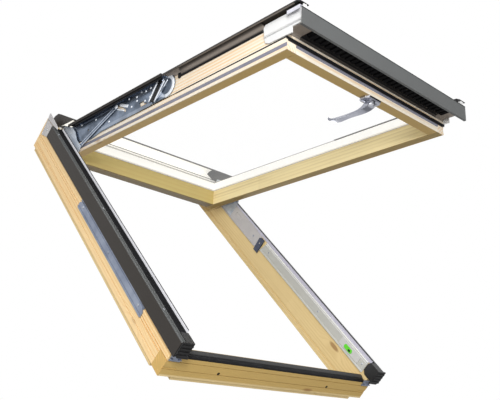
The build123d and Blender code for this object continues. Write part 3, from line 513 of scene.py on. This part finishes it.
def green_fluid(name, colour):
    """Clear tinted acrylic of the level vial, with painted light: it glows a little."""
    finish = Finish(name)
    cloud = finish.noise(finish.place(), 90.0, 2.0)
    tone = finish.tint(cloud * 0.4, colour, (colour[0] * 1.6 + 0.02, colour[1] * 1.3, colour[2] * 1.2, 1))
    # Painted light: the fluid glows.
    return finish.finished(
        {"Base Color": tone, "Roughness": 0.2 + cloud * 0.05, "Specular IOR Level": 0.2,
         "Emission Color": tone, "Emission Strength": 0.15})


# Settings that a user would change

def colour_value(name, description, default):
    return FloatVectorProperty(name=name, description=description, default=(*default, 1.0), size=4,
                               subtype="COLOR", min=0.0, max=1.0)


def length_value(name, description, default):
    return FloatProperty(name=name, description=description, default=default, unit="LENGTH")


def power_value(name, description, default):
    return FloatProperty(name=name, description=description, default=default, min=0.0)


class FinishSettings(PropertyGroup):
    pine: colour_value("Jamb sides", "Early wood on the frame's outer sides", (0.97, 0.74, 0.42))
    pine_sash: colour_value("Sash sides", "Early wood on the sash's outer sides", (0.86, 0.82, 0.72))
    pine_line: colour_value("Side growth lines", "Late wood on the outer sides", (0.80, 0.47, 0.17))
    pine_knot: colour_value("Knots", "Hearts of the knots", (0.30, 0.15, 0.055))
    pine_shade: colour_value("Shaded room face", "Top rail's room face", (0.13, 0.098, 0.045))
    # Painted light: the pale, glowing front of the frame's head.
    head_front_painted_light: colour_value("Primed head", "Pale primer on the front of the head", (0.93, 0.93, 0.91))
    # The room faces' colour is the wood's tone with painted shade.
    pine_room: colour_value("Room faces", "Early wood of the sash's room faces", (0.56, 0.385, 0.145))
    # Painted shade: the right stile's room face.
    pine_stile_painted_shade: colour_value("Dull room faces", "Early wood of the darker rail and stile", (0.33, 0.24, 0.10))
    pine_inner: colour_value("Glass sides", "Early wood of the sash beside the glass", (1.0, 0.86, 0.50))
    # Painted shade: the top rail's glass side, darker than the stiles'.
    top_rail_inner_painted_shade: colour_value("Top rail", "Early wood of the top rail beside the glass", (0.60, 0.49, 0.20))
    # The reveals' colour is the wood's tone with painted shade.
    pine_reveal: colour_value("Reveals", "Early wood of the lacquered inner faces", (0.80, 0.62, 0.32))
    pine_room_line: colour_value("Room growth lines", "Late wood of the lacquered faces", (0.52, 0.36, 0.14))
    pine_sill: colour_value("Sill", "Early wood of the sill's outer side", (0.60, 0.41, 0.14))
    cladding: colour_value("Cladding", "Coating of the folded aluminium", (0.040, 0.035, 0.031))
    cladding_worn: colour_value("Worn cladding", "Rubbed places of that coating", (0.085, 0.078, 0.072))
    cladding_light: colour_value("Light cladding", "Coves and folds in the light", (0.30, 0.26, 0.225))
    skirt: colour_value("Skirt", "Coating of the plate under the sash", (0.125, 0.13, 0.13))
    strip: colour_value("Sill strip", "Coating of the strip along the sill", (0.055, 0.055, 0.055))
    steel: colour_value("Zinc steel", "Plated steel of pins and clips", (0.42, 0.46, 0.56))
    steel_dark: colour_value("Dull zinc", "Dull places of the plating", (0.20, 0.23, 0.31))
    # Painted reflection: these dark blues partly stand in for the arms' dark reflections on zinc steel.
    arm: colour_value("Arm steel", "Blued steel of the arms", (0.27, 0.33, 0.43))
    arm_dark: colour_value("Dark arm steel", "Dark places of the arms", (0.045, 0.06, 0.085))
    # Painted highlights on the arms' flanges, bars, end ring and rib.
    arm_painted_highlight: colour_value("Light arm steel", "Flanges and bars of the arms", (0.60, 0.66, 0.76))
    fixing: colour_value("Fixing strip", "Steel strips at the outside of the jambs", (0.33, 0.37, 0.46))
    sheet: colour_value("Pale sheet", "Plates at the top of the frame", (0.56, 0.545, 0.54))
    keeper: colour_value("Keeper plate", "Plates in the upper reveal", (0.46, 0.44, 0.445))
    trim: colour_value("Reveal trim", "Upright pale strips along the reveal", (0.53, 0.52, 0.61))
    channel: colour_value("Channel", "Plastic channel low in the reveal", (0.50, 0.50, 0.465))
    # Painted highlight: the channel's bevels.
    channel_light: colour_value("Channel edge", "Bevels of that channel", (0.76, 0.76, 0.74))
    dark_steel: colour_value("Dark steel", "Striker brackets", (0.075, 0.085, 0.125))
    rubber: colour_value("Rubber", "Black seals", (0.010, 0.010, 0.011))
    sash_seal: colour_value("Sash seal", "Grey seals in the sash grooves", (0.22, 0.22, 0.27))
    black_plastic: colour_value("Black plastic", "Caps of the frame and covers", (0.014, 0.014, 0.014))
    corner: colour_value("Corner plastic", "Pale pieces at the sash corners", (0.74, 0.74, 0.73))
    spacer: colour_value("Glass spacer", "Band between the panes", (0.84, 0.83, 0.79))
    vial: colour_value("Vial", "Fluid of the level vial", (0.10, 0.55, 0.03))
    # Painted reflection: the chrome's bright and dark bands.
    chrome: colour_value("Chrome", "Lever handle", (0.86, 0.87, 0.93))
    chrome_reflection_dark: colour_value("Chrome turn", "Darker bands of the lever handle", (0.30, 0.31, 0.36))


class FittingSettings(PropertyGroup):
    screw_radius: length_value("Screw head", "Radius of a screw head", 0.0042)
    screw_height: length_value("Screw height", "Height of a screw head", 0.0019)
    bead_width: length_value("Glass bead", "Width of the seal around the glass", 0.0022)
    bubble_length: length_value("Bubble length", "Length of the bubble in the vial", 0.012)


class StageSettings(PropertyGroup):
    floor_height: length_value("Floor height", "Height of the studio floor", -1.32)
    room_light: power_value("Room light", "Strength of the even light", 0.40)
    key_light: power_value("Key light", "Power of the large lamp in front", 60.0)
    low_light: power_value("Low light", "Power of the lamp low in front", 44.0)
    back_light: power_value("Back light", "Power of the lamp behind", 50.0)
    lens: FloatProperty(name="Lens", description="Focal length of the camera in mm", default=52.363, min=1.0)


class RoofWindowSettings(PropertyGroup):
    finishes: PointerProperty(type=FinishSettings)
    fittings: PointerProperty(type=FittingSettings)
    stage: PointerProperty(type=StageSettings)


def settings():
    return bpy.context.scene.roof_window


def dress(material, *names):
    """Gives CAD nodes a finish."""
    for name in names:
        slots = frame["nodes"][name].data.materials
        slots.clear()
        slots.append(material)


# Stage

class ROOFWINDOW_OT_stage(Operator):
    """Pale floor, even light, soft lamps and the camera"""
    bl_idname = "roofwindow.stage"
    bl_label = "Studio"

    def execute(self, context):
        values = settings().stage
        scene = context.scene
        scene.view_settings.view_transform = "Standard"
        self.floor(values)
        self.room(values)
        self.lamp("key_lamp", (-2.6, -3.2, -0.1), 1.6, values.key_light)
        self.lamp("low_lamp", (-1.8, -1.9, -0.98), 0.6, values.low_light)
        self.lamp("back_lamp", (2.6, 2.6, 3.0), 2.4, values.back_light)
        self.camera(values)
        return {"FINISHED"}

    def floor(self, values):
        """Flat sheet: x and y run over a square grid, z is the floor height."""
        side = np.linspace(-9, 9, 13)
        x, y = np.meshgrid(side, side, indexing="ij")
        points = np.stack([x, y, np.full_like(x, values.floor_height)], -1)
        finish = Finish("studio_floor")
        tone = finish.noise(finish.place(), 0.7, 2.0)
        colour = finish.tint(tone, (0.80, 0.80, 0.80, 1), (0.84, 0.84, 0.84, 1))
        material = finish.finished({"Base Color": colour, "Roughness": 0.7})
        surface_mesh("studio_floor", points[None], False, material)

    def room(self, values):
        """Even light from all sides, with plain white behind, in mirrors and through glass."""
        world = bpy.data.worlds.new("studio_room")
        bpy.context.scene.world = world
        world.use_nodes = True
        tree = world.node_tree
        tree.nodes.clear()
        path = tree.nodes.new("ShaderNodeLightPath")
        chosen = path.outputs["Is Camera Ray"]
        for ray in ("Is Transmission Ray", "Is Glossy Ray"):
            either = tree.nodes.new("ShaderNodeMath")
            either.operation = "MAXIMUM"
            tree.links.new(chosen, either.inputs[0])
            tree.links.new(path.outputs[ray], either.inputs[1])
            chosen = either.outputs[0]
        mix = tree.nodes.new("ShaderNodeMixShader")
        tree.links.new(chosen, mix.inputs[0])
        for strength, socket in ((values.room_light, 1), (1.0, 2)):
            background = tree.nodes.new("ShaderNodeBackground")
            background.inputs["Color"].default_value = (1, 1, 1, 1)
            background.inputs["Strength"].default_value = strength
            tree.links.new(background.outputs[0], mix.inputs[socket])
        out = tree.nodes.new("ShaderNodeOutputWorld")
        tree.links.new(mix.outputs[0], out.inputs[0])

    def lamp(self, name, place, size, power):
        """Square lamp that faces the middle of the window."""
        data = bpy.data.lights.new(name, "AREA")
        data.shape = "SQUARE"
        data.size = size
        data.energy = power
        piece = bpy.data.objects.new(name, data)
        middle = np.array([0.0, -0.3, 0.6])
        rows = frame_of(np.array(place) - middle)
        piece.matrix_world = Matrix([[*rows[:, k], place[k]] for k in range(3)] + [[0, 0, 0, 1]])
        bpy.context.scene.collection.objects.link(piece)

    def camera(self, values):
        data = bpy.data.cameras.new("camera")
        data.sensor_width = 36.0
        data.sensor_fit = "HORIZONTAL"
        data.lens = values.lens
        data.clip_start = 0.05
        piece = bpy.data.objects.new("camera", data)
        place = (-1.46454, -0.89049, -1.13395)
        right = (0.72156, -0.51365, -0.46421)
        up = (-0.24519, -0.81662, 0.52249)
        forward = (0.64746, 0.26319, 0.71520)
        rows = [[right[k], up[k], -forward[k], place[k]] for k in range(3)]
        piece.matrix_world = Matrix(rows + [[0, 0, 0, 1]])
        bpy.context.scene.collection.objects.link(piece)
        bpy.context.scene.camera = piece


# Finishes of the CAD pieces

def cove_light(finish):
    """The inner cove of a sash cover, lit between its two folds."""
    out, down = finish.parts(finish.on_sash(), (1, 2))
    low = finish.band(down, 0.640, 0.700)
    return finish.between(out, 0.0885, 0.0965, 0.0035) * (0.35 + low * 0.65)


def front_return(finish):
    """The narrow return of the jamb cladding on the weather side."""
    return finish.band(finish.part(finish.on_frame(), 1), 0.0016, 0.0006)


def brush_bed_and_painted_shade(finish):
    """The black felt bed of the brush on the sheet below the bottom rail, and the painted shade beside it.
    """
    x, down = finish.parts(finish.on_sash(), (0, 2))
    return finish.band(finish.size(x), 0.3035, 0.3025) * (finish.band(down, 1.0795, 1.0805) * 0.28 + 0.72)


def cap_fold_pale_band(finish):
    """The pale band on the cap's fold beside the glass."""
    out = finish.part(finish.on_sash(), 1)
    return finish.band(out, 0.0994, 0.0990)


def left_trim_painted_light(finish):
    """Painted light: the left strip is made brighter than the right one."""
    return finish.band(finish.part(finish.on_frame(), 0), 0.01, -0.01)


def arm_painted_highlight(finish):
    """Painted highlights on an arm: lower flange, fork bars, end ring and upper rib."""
    out, down = finish.parts(finish.on_sash(), (1, 2))
    flange = finish.between(out, 0.033, 0.0445) * finish.between(down, 0.250, 0.528, 0.01) * 0.25
    rib = finish.between(out, 0.0935, 0.0995) * finish.between(down, 0.09, 0.33, 0.01) * 0.5
    bars = finish.between(down, 0.528, 0.576, 0.004) * finish.between(out, 0.045, 0.100, 0.003) * 0.85
    from_out, from_down = out - MIDDLE_PIVOT[0], down - MIDDLE_PIVOT[1]
    away = (from_out * from_out + from_down * from_down) ** 0.5
    ring = finish.between(away, 0.0255, 0.034, 0.002) * 0.9
    upper = finish.between(out, 0.084, 0.101) * finish.between(down, 0.415, 0.53, 0.01) * 0.5
    return (flange + rib + bars + ring + upper).clipped()


def stay_painted_highlight(finish):
    """Painted highlights on both ridges of a stay, from the distance across its length."""
    y, z = finish.parts(finish.on_frame(), (1, 2))
    across = finish.size((y - STAY_PIN[0]) * STAY_ACROSS[0] + (z - STAY_PIN[1]) * STAY_ACROSS[1])
    return finish.between(across, 0.0040, 0.0072, 0.0006)


def channel_bevel_highlight(finish):
    """Painted highlights on the bevels at both sides of the channel."""
    depth = finish.part(finish.on_frame(), 1)
    return (finish.between(depth, 0.0, 0.0105, 0.001) + finish.band(depth, 0.040, 0.042)).clipped()


class ROOFWINDOW_OT_timber(Operator):
    """Lacquered pine on the frame and the sash"""
    bl_idname = "roofwindow.timber"
    bl_label = "Timber"

    def execute(self, context):
        colours = settings().finishes
        # Reveals and room faces are darker than the sides: the wood's tone with painted shade.
        frame_faces = (colours.pine_reveal, colours.pine_room)
        lit_faces = (colours.pine_inner, colours.pine_room)
        # Painted shade: the right stile's room face is darker.
        stile_shaded_faces = (colours.pine_inner, colours.pine_stile_painted_shade)
        # Painted shade: both faces of the top rail are darker copies of the wood.
        top_rail_shaded_faces = (colours.top_rail_inner_painted_shade, colours.pine_shade)
        for name, moving, along, shift, outer, faces in (
            ("frame_jamb_left", False, "Z", (0.44, 0.06, 0.0), colours.pine, frame_faces),
            ("frame_jamb_right", False, "Z", (-0.42, 0.05, 0.31), colours.pine, frame_faces),
            ("frame_head", False, "X", (0.2, 0.07, -1.22), colours.pine, frame_faces),
            ("frame_sill", False, "X", (0.0, 0.05, 0.06), colours.pine_sill, frame_faces),
            ("sash_stile_left", True, "Z", (0.41, 0.03, 0.17), colours.pine_sash, lit_faces),
            ("sash_stile_right", True, "Z", (-0.40, 0.06, 0.44), colours.pine_sash, stile_shaded_faces),
            ("sash_top_rail", True, "X", (0.4, 0.05, 0.08), colours.pine_sash, top_rail_shaded_faces),
            ("sash_bottom_rail", True, "X", (0.1, 0.05, -1.14), colours.pine_sash, lit_faces),
        ):
            # Painted light: only the frame's head glows.
            painted_light_strength = 0.30 if name == "frame_head" else 0.0
            dress(pine("pine_" + name, colours, moving, along, shift, outer, faces, painted_light_strength), name)
        return {"FINISHED"}


class ROOFWINDOW_OT_metal(Operator):
    """Coated cladding, zinc steel, plates and chrome"""
    bl_idname = "roofwindow.metal"
    bl_label = "Metal"

    def execute(self, context):
        colours = settings().finishes
        worn = colours.cladding_worn
        dress(coated("frame_coating", colours.cladding, worn, light=colours.skirt, light_band=front_return),
              "jamb_claddings")
        dress(coated("hood_coating", colours.cladding, worn), "head_hood")
        lit = colours.cladding_light
        dress(coated("sash_coating", colours.cladding, worn, light=lit, light_band=cove_light),
              "arm_covers", "sash_covers")
        # The cap's fold beside the glass takes a pale band in the spacer's colour.
        dress(coated("cap_coating", colours.cladding, worn, light=colours.spacer, light_band=cap_fold_pale_band),
              "glazing_caps")
        dress(coated("skirt_coating", colours.skirt, worn), "sash_skirt")
        # Painted light and shade: the closure sheet takes the lit cladding colour, with black felt and
        # painted shade in its middle.
        dress(coated("closure_coating", lit, colours.cladding, light=colours.rubber, light_band=brush_bed_and_painted_shade),
              "sash_closure")
        dress(coated("sill_coating", colours.strip, worn), "sill_cladding")
        dress(plated("zinc_steel", colours.steel, colours.steel_dark), "sill_clips", "pivot_pins")
        dress(moulded("clip_plastic", (0.62, 0.62, 0.68, 1), (0.50, 0.50, 0.56, 1), 0.4), "corner_clips")
        # Painted highlight: the hinge steel is made paler than the arms.
        dress(plated("hinge_steel", (0.72, 0.78, 0.86, 1), colours.arm, 0.25, 0.5), "hinge_brackets")
        # Painted reflection and highlights: arms and stays are darkened for dark reflections and carry
        # painted highlights.
        steels = (colours.arm, colours.arm_dark, 0.24, 0.9, colours.arm_painted_highlight)
        dress(plated("arm_steel", *steels, arm_painted_highlight), "arm_left", "arm_right")
        dress(plated("stay_steel", *steels, stay_painted_highlight), "stays")
        dress(plated("fixing_steel", colours.fixing, colours.steel_dark, 0.3), "fixing_strips")
        dress(plated("pale_sheet", colours.sheet, colours.keeper, 0.45, 0.2), "top_plates")
        dress(plated("keeper_sheet", colours.keeper, colours.sheet, 0.45, 0.2), "keeper_plates")
        # Painted light: the left trim is brighter.
        dress(coated("reveal_trim", colours.trim, colours.trim, 0.35, 0.0, (0.84, 0.84, 0.88, 1), left_trim_painted_light),
              "reveal_trims")
        dress(coated("dark_steel", colours.dark_steel, colours.steel_dark, 0.35, 0.5), "striker_brackets")
        # Painted reflection: the chrome's bands follow the viewing angle.
        chrome = polished_metal("chrome", colours.chrome, colours.chrome_reflection_dark, 0.12)
        dress(chrome, "handle_lever", "handle_base")
        return {"FINISHED"}


class ROOFWINDOW_OT_plastic(Operator):
    """Rubber, moulded plastic, the vial and the glass"""
    bl_idname = "roofwindow.plastic"
    bl_label = "Plastic and glass"

    def execute(self, context):
        colours = settings().finishes
        rubber = moulded("black_rubber", colours.rubber, (0.016, 0.016, 0.018, 1), 0.55, 0.1, bump=0.05)
        dress(rubber, "jamb_gaskets", "sill_gasket", "arm_seals", "cover_seals", "sash_black_seals")
        dress(moulded("brush_black", colours.rubber, (0.004, 0.004, 0.004, 1), 0.9, 0.05), "vent_brush")
        dress(moulded("sash_seal", colours.sash_seal, (0.15, 0.15, 0.19, 1), 0.45), "sash_gaskets")
        dress(moulded("black_plastic", colours.black_plastic, (0.03, 0.03, 0.034, 1), 0.35),
              "corner_caps", "cover_caps")
        # Painted highlights on the channel's bevels; its rubbed spots take the same pale colour.
        bevel = colours.channel_light
        dress(coated("channel_plastic", colours.channel, bevel, 0.38, 0.0, bevel, channel_bevel_highlight),
              "lower_channels")
        dress(moulded("level_plastic", (0.58, 0.58, 0.57, 1), (0.50, 0.50, 0.49, 1), 0.3), "level_plate")
        dress(moulded("corner_plastic", colours.corner, (0.70, 0.70, 0.71, 1), 0.5, 0.2),
              "sash_corner_pieces")
        # Painted light: the spacer glows.
        dress(moulded("glass_spacer", colours.spacer, (0.80, 0.79, 0.76, 1), 0.6, 0.1, painted_light_strength=0.42),
              "glass_spacer")
        dress(green_fluid("vial_fluid", tuple(colours.vial)), "level_vial")
        dress(clear_glass("clear_glass"), "sash_glass")
        return {"FINISHED"}


# Fittings too small for the CAD frame

class ROOFWINDOW_OT_screws(Operator):
    """Cross-headed screws in the cladding, the reveal plates and the hinges"""
    bl_idname = "roofwindow.screws"
    bl_label = "Screws"

    def execute(self, context):
        values = settings().fittings
        colours = settings().finishes
        steel = plated("screw_steel", (0.55, 0.57, 0.6, 1), colours.steel_dark, 0.25)
        small = screw_head(values.screw_radius * 0.7, values.screw_height * 0.8)
        large = screw_head(values.screw_radius, values.screw_height)
        heads = []
        for side in (-1, 1):
            rows = (
                (small, 0.3865, -0.0001, (0.110, 0.581, 1.052), (0, -1, 0)),
                (large, PLATE_X - 0.0014, 0.025, (0.757, 0.941, 1.087), (-side, 0, 0)),
                (large, 0.3922, 0.060, (0.200, 0.437, 0.674), (side, 0, 0)),
                (small, PLATE_X - 0.0018, 0.022, (0.045, 0.300, 0.640), (-side, 0, 0)),
                (large, 0.392, 0.030, (1.140,), (side, 0, 0)),
            )
            for head, x, depth, heights, normal in rows:
                heads += [stood(head, on_frame(side * x, depth, z), normal) for z in heights]
        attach(surface_mesh("frame_screws", heads, True, steel), "frame")
        return {"FINISHED"}


class ROOFWINDOW_OT_arm_parts(Operator):
    """Rivets, fork bars, small plates, end rings and stud heads on the arms, and black sheets of painted
    shade in the forks
    """
    bl_idname = "roofwindow.arm_parts"
    bl_label = "Arm parts"

    def execute(self, context):
        colours = settings().finishes
        steel = plated("rivet_steel", (0.90, 0.92, 0.95, 1), (0.62, 0.67, 0.75, 1), 0.25, 0.30)
        black = moulded("fork_black", colours.rubber, (0.02, 0.02, 0.02, 1), 0.5, 0.2)
        dome = [(0.0001, 0.0018), (0.0018, 0.0017), (0.0034, 0.0012), (0.0040, 0.0), (0.0040, -0.0002)]
        flat = [(0.0001, 0.0016), (0.0045, 0.0016), (0.0060, 0.0010), (0.0075, 0.0004), (0.0075, -0.0002)]
        rivet, stud = turned(dome, 20), turned(flat, 20)
        round_bar, thin_plate = ellipse(0.0033, 0.0016), ellipse(0.0095, 0.0006)
        heads, bars, fork_shades, rings = [], [], [], []
        for side in (-1, 1):
            outward = sash_direction(side, 0, 0)
            x, raised = side * ARM_X, side * FORK_X
            for out, down in ARM_RIVETS:
                heads.append(stood(rivet, on_sash([x, out, down]), outward))
            heads.append(stood(stud, on_sash([side * 0.3546, *ARM_STUD]), outward))
            for start, end in FORK_BARS:
                bars.append(straight((raised, *start), (raised, *end), round_bar, outward, on_sash))
            # Painted shade: a flat black sheet in each fork's slot.
            start, end = np.mean(FORK_BARS, axis=0)
            fork_shades.append(straight((raised, *start), (raised, *end), thin_plate, outward, on_sash))
            for start, end, width in ARM_LUGS:
                ends = (side * ARM_PLATE_X, *start), (side * ARM_PLATE_X, *end)
                bars.append(straight(*ends, ellipse(width, 0.0010), outward, on_sash))
            angle = np.linspace(-0.55 * math.pi, 0.45 * math.pi, 25)
            out, down = MIDDLE_PIVOT
            bend = out + END_RING * np.sin(angle), down + END_RING * np.cos(angle)
            arc = np.stack([np.full_like(angle, x), *bend], -1)
            rings.append(swept(on_sash(arc), ellipse(0.0062, 0.0022), outward))
        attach(surface_mesh("arm_rivets", heads, True, steel), "arms")
        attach(surface_mesh("fork_bars", bars, True, steel), "arms")
        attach(surface_mesh("fork_painted_shade_sheets", fork_shades, True, black), "arms")
        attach(surface_mesh("arm_end_rings", rings, True, steel), "arms")
        return {"FINISHED"}


class ROOFWINDOW_OT_cove_ends(Operator):
    """Coves that close the sash covers towards the arms, in the lit cladding colour, which is painted light
    """
    bl_idname = "roofwindow.cove_ends"
    bl_label = "Cove ends"

    def execute(self, context):
        """Quarter-round sheets: x = c - w sin a, out = lip - h (1 - cos a), carried down the sash.

        The height shrinks to a quarter at the end beside the arm.
        """
        colours = settings().finishes
        # Painted light: the coves take the lit cladding colour.
        finish = coated("cove_coating", colours.cladding_light, colours.cladding)
        angle = np.linspace(0, math.pi / 2, 10)
        start, length = 0.6015, 0.0625
        down = np.linspace(start, start + length, 14)[:, None]
        centre, width, lip, height = 0.3695, 0.0215, 0.1000, 0.0125
        grids = []
        for side in (-1, 1):
            across = centre - width * np.ones_like(down) * np.sin(angle)
            out = lip - height * (1 - np.cos(angle)) * (0.25 + 0.75 * (down - start) / length)
            sheet = np.stack([side * across, out, down * np.ones_like(across)], -1)
            back = sheet[:, ::-1] + np.array([0, 0.0008, 0])
            grids.append(on_sash(np.concatenate([sheet, back], axis=1)))
        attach(surface_mesh("cove_ends", grids, True, finish), "sash")
        return {"FINISHED"}


class ROOFWINDOW_OT_hood_painted_light(Operator):
    """Painted light: a pale sheet under the hood that glows"""
    bl_idname = "roofwindow.hood_foam"
    bl_label = "Hood painted light"

    def execute(self, context):
        """A thin sheet (depth, height) that follows the hood's folds, carried across the window.

        Its end rows lie on the sheet's middle line, which closes the ends.
        """
        colours = settings().finishes
        folds = np.array([(-0.0008, 1.1340), (-0.0012, 1.1762), (-0.0168, 1.1710),
                          (-0.0323, 1.1587), (-0.0412, 1.1364), (-0.0714, 1.0445)])
        thick = np.array([0.0003, -0.0002])
        half = folds + thick / 2
        around = np.concatenate([folds, (folds + thick)[::-1]])
        ends = np.concatenate([half, half[::-1]])
        rows = np.stack([ends, *[around] * 7, ends])
        reach = 0.344
        across = np.concatenate([[-reach], np.linspace(-reach, reach, 7), [reach]])
        x = np.broadcast_to(across[:, None], rows.shape[:2])
        sheet = np.stack([x, WEATHER_Y + rows[..., 0], rows[..., 1]], -1)
        # Painted light: the sheet is pale and glows.
        light_sheet = moulded("hood_foam", colours.spacer, (0.80, 0.79, 0.76, 1), 0.8, 0.05, bump=0.03, painted_light_strength=0.5)
        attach(surface_mesh("hood_foam", [sheet], True, light_sheet, False), "frame")
        return {"FINISHED"}


class ROOFWINDOW_OT_edge_lines(Operator):
    """Thin beads along trims, grooves, rail and skirt, and the flanges of the fixing strips"""
    bl_idname = "roofwindow.edge_lines"
    bl_label = "Edge lines"

    def execute(self, context):
        colours = settings().finishes
        black = moulded("bead_black", colours.rubber, (0.02, 0.02, 0.02, 1), 0.5, 0.2)
        steel = plated("flange_steel", colours.fixing, colours.steel_dark, 0.3)
        trims, flanges, grooves = [], [], []
        for side in (-1, 1):
            x, y = side * 0.3608, WEATHER_Y - 0.0107
            trims.append(straight((x, y, 0.022), (x, y, 1.092), ellipse(0.0012, 0.0010, 8), (0, -1, 0)))
            x, y = side * 0.3907, WEATHER_Y + 0.0490
            flanges.append(straight((x, y, 0.171), (x, y, 0.703), ellipse(0.0045, 0.0006), (side, 0, 0)))
            x, out = side * 0.3472, 0.0345
            section, outward = ellipse(0.0021, 0.0007, 8), sash_direction(side, 0, 0)
            grooves.append(straight((x, out, 0.640), (x, out, 1.073), section, outward, on_sash))
        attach(surface_mesh("trim_beads", trims, True, black), "frame")
        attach(surface_mesh("fixing_flanges", flanges, True, steel), "frame")
        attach(surface_mesh("groove_beads", grooves, True, black), "sash")
        for name, half, out, down, section, up in (
            ("rail_bead", 0.344, 0.0268, 1.0757, ellipse(0.0026, 0.0005, 8), (0, 0, 1)),
            ("skirt_bead", 0.366, 0.0800, 1.1420, ellipse(0.0014, 0.0014), (0, 1, 0)),
        ):
            bead = straight((-half, out, down), (half, out, down), section, sash_direction(*up), on_sash)
            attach(surface_mesh(name, [bead], True, black), "sash")
        return {"FINISHED"}


class ROOFWINDOW_OT_recess_shades(Operator):
    """Painted shade in the recesses of the screws in the sill and the keeper plates, and the tongues in
    those plates
    """
    bl_idname = "roofwindow.plugs"
    bl_label = "Recess shades"

    def execute(self, context):
        colours = settings().finishes
        # Painted shade: near-black cups in the screw recesses.
        dark = moulded("recess_painted_shade", (0.012, 0.011, 0.010, 1), (0.02, 0.018, 0.016, 1), 0.6, 0.1)
        cup = [(0.0001, -0.0004), (0.0020, -0.0002), (0.0038, 0.0004), (0.0044, 0.0), (0.0044, -0.0010)]
        shape = turned(cup, 16)
        heads, tongues = [], []
        for side in (-1, 1):
            heads.append(stood(shape, on_frame(side * SILL_SCREW_X, 0.090, 0.0), (0, 0, -1)))
            heads.append(stood(shape * 0.6, on_frame(side * 0.3590, 0.0248, 0.947), (-side, 0, 0)))
            x, y = side * 0.3588, WEATHER_Y + 0.0200
            tongues.append(straight((x, y, 0.866), (x, y, 0.908), ellipse(0.0075, 0.0005), (-side, 0, 0)))
        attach(surface_mesh("recess_shade_cups", heads, True, dark), "frame")
        plate = plated("tongue_sheet", colours.keeper, colours.sheet, 0.45, 0.2)
        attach(surface_mesh("keeper_tongues", tongues, True, plate), "frame")
        return {"FINISHED"}


class ROOFWINDOW_OT_glass_bead(Operator):
    """Seal between the glass and the timber, all round"""
    bl_idname = "roofwindow.glass_bead"
    bl_label = "Glass bead"

    def execute(self, context):
        """A small rounded profile carried round a rectangle with mitred corners.

        The profile's first part moves the rectangle inwards and its second lifts it off the glass.
        """
        width = settings().fittings.bead_width
        angle = np.linspace(0, math.pi, 7)
        inwards = width * np.sin(angle)
        lift = width * 0.5 * (1 - np.cos(angle))
        x, top, low = 0.3138, 0.0437, 1.0413
        inwards = np.append(inwards, 0.0)
        lift = np.append(lift, width)
        corners = np.array([(-1, top, 1), (1, top, 1), (1, low, -1), (-1, low, -1)], float)
        across = corners[:, :1] * (x - inwards)
        down = corners[:, 1:2] + corners[:, 2:3] * inwards
        out = np.broadcast_to(0.0588 - lift, across.shape)
        ring = np.swapaxes(on_sash(np.stack([across, out, down], -1)), 0, 1)
        bead = moulded("glass_seal", (0.70, 0.70, 0.78, 1), (0.62, 0.62, 0.72, 1), 0.5)
        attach(surface_mesh("glass_bead", ring[None], True, bead, False), "sash")
        return {"FINISHED"}


class ROOFWINDOW_OT_bubble(Operator):
    """Bubble in the level vial"""
    bl_idname = "roofwindow.bubble"
    bl_label = "Level bubble"

    def execute(self, context):
        """Flat oval dome: y = b sin u cos v, z = a sin u sin v, x = h cos u."""
        length = settings().fittings.bubble_length
        half_width, rise = 0.0036, 0.0007
        u = np.linspace(0.001, math.pi / 2, 8)[:, None]
        v = np.linspace(0, 2 * math.pi, 28, endpoint=False)
        y = half_width * np.sin(u) * np.cos(v)
        z = length / 2 * np.sin(u) * np.sin(v)
        x = 0.3554 - rise * np.cos(u) * np.ones_like(y)
        dome = np.stack([x, WEATHER_Y + 0.0255 + y, 0.109 + z], -1)
        dark = moulded("bubble", (0.006, 0.02, 0.006, 1), (0.01, 0.03, 0.008, 1), 0.3, 0.2)
        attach(surface_mesh("level_bubble", dome[None], True, dark), "frame")
        return {"FINISHED"}


STEPS = (
    ROOFWINDOW_OT_stage,
    ROOFWINDOW_OT_timber,
    ROOFWINDOW_OT_metal,
    ROOFWINDOW_OT_plastic,
    ROOFWINDOW_OT_screws,
    ROOFWINDOW_OT_arm_parts,
    ROOFWINDOW_OT_cove_ends,
    ROOFWINDOW_OT_hood_painted_light,
    ROOFWINDOW_OT_edge_lines,
    ROOFWINDOW_OT_recess_shades,
    ROOFWINDOW_OT_glass_bead,
    ROOFWINDOW_OT_bubble,
)


class ROOFWINDOW_PT_steps(Panel):
    """Lists the steps that dress the window"""
    bl_idname = "ROOFWINDOW_PT_steps"
    bl_label = "Roof Window"
    bl_space_type = "VIEW_3D"
    bl_region_type = "UI"
    bl_category = "Roof Window"

    def draw(self, context):
        for step in STEPS:
            self.layout.operator(step.bl_idname)


CLASSES = (FinishSettings, FittingSettings, StageSettings, RoofWindowSettings, *STEPS, ROOFWINDOW_PT_steps)


def register():
    for item in CLASSES:
        bpy.utils.register_class(item)
    bpy.types.Scene.roof_window = PointerProperty(type=RoofWindowSettings)


def unregister():
    del bpy.types.Scene.roof_window
    for item in reversed(CLASSES):
        bpy.utils.unregister_class(item)


def main():
    register()
    for step in STEPS:
        group, name = step.bl_idname.split(".")
        getattr(getattr(bpy.ops, group), name)()


if __name__ == "__main__":
    main()
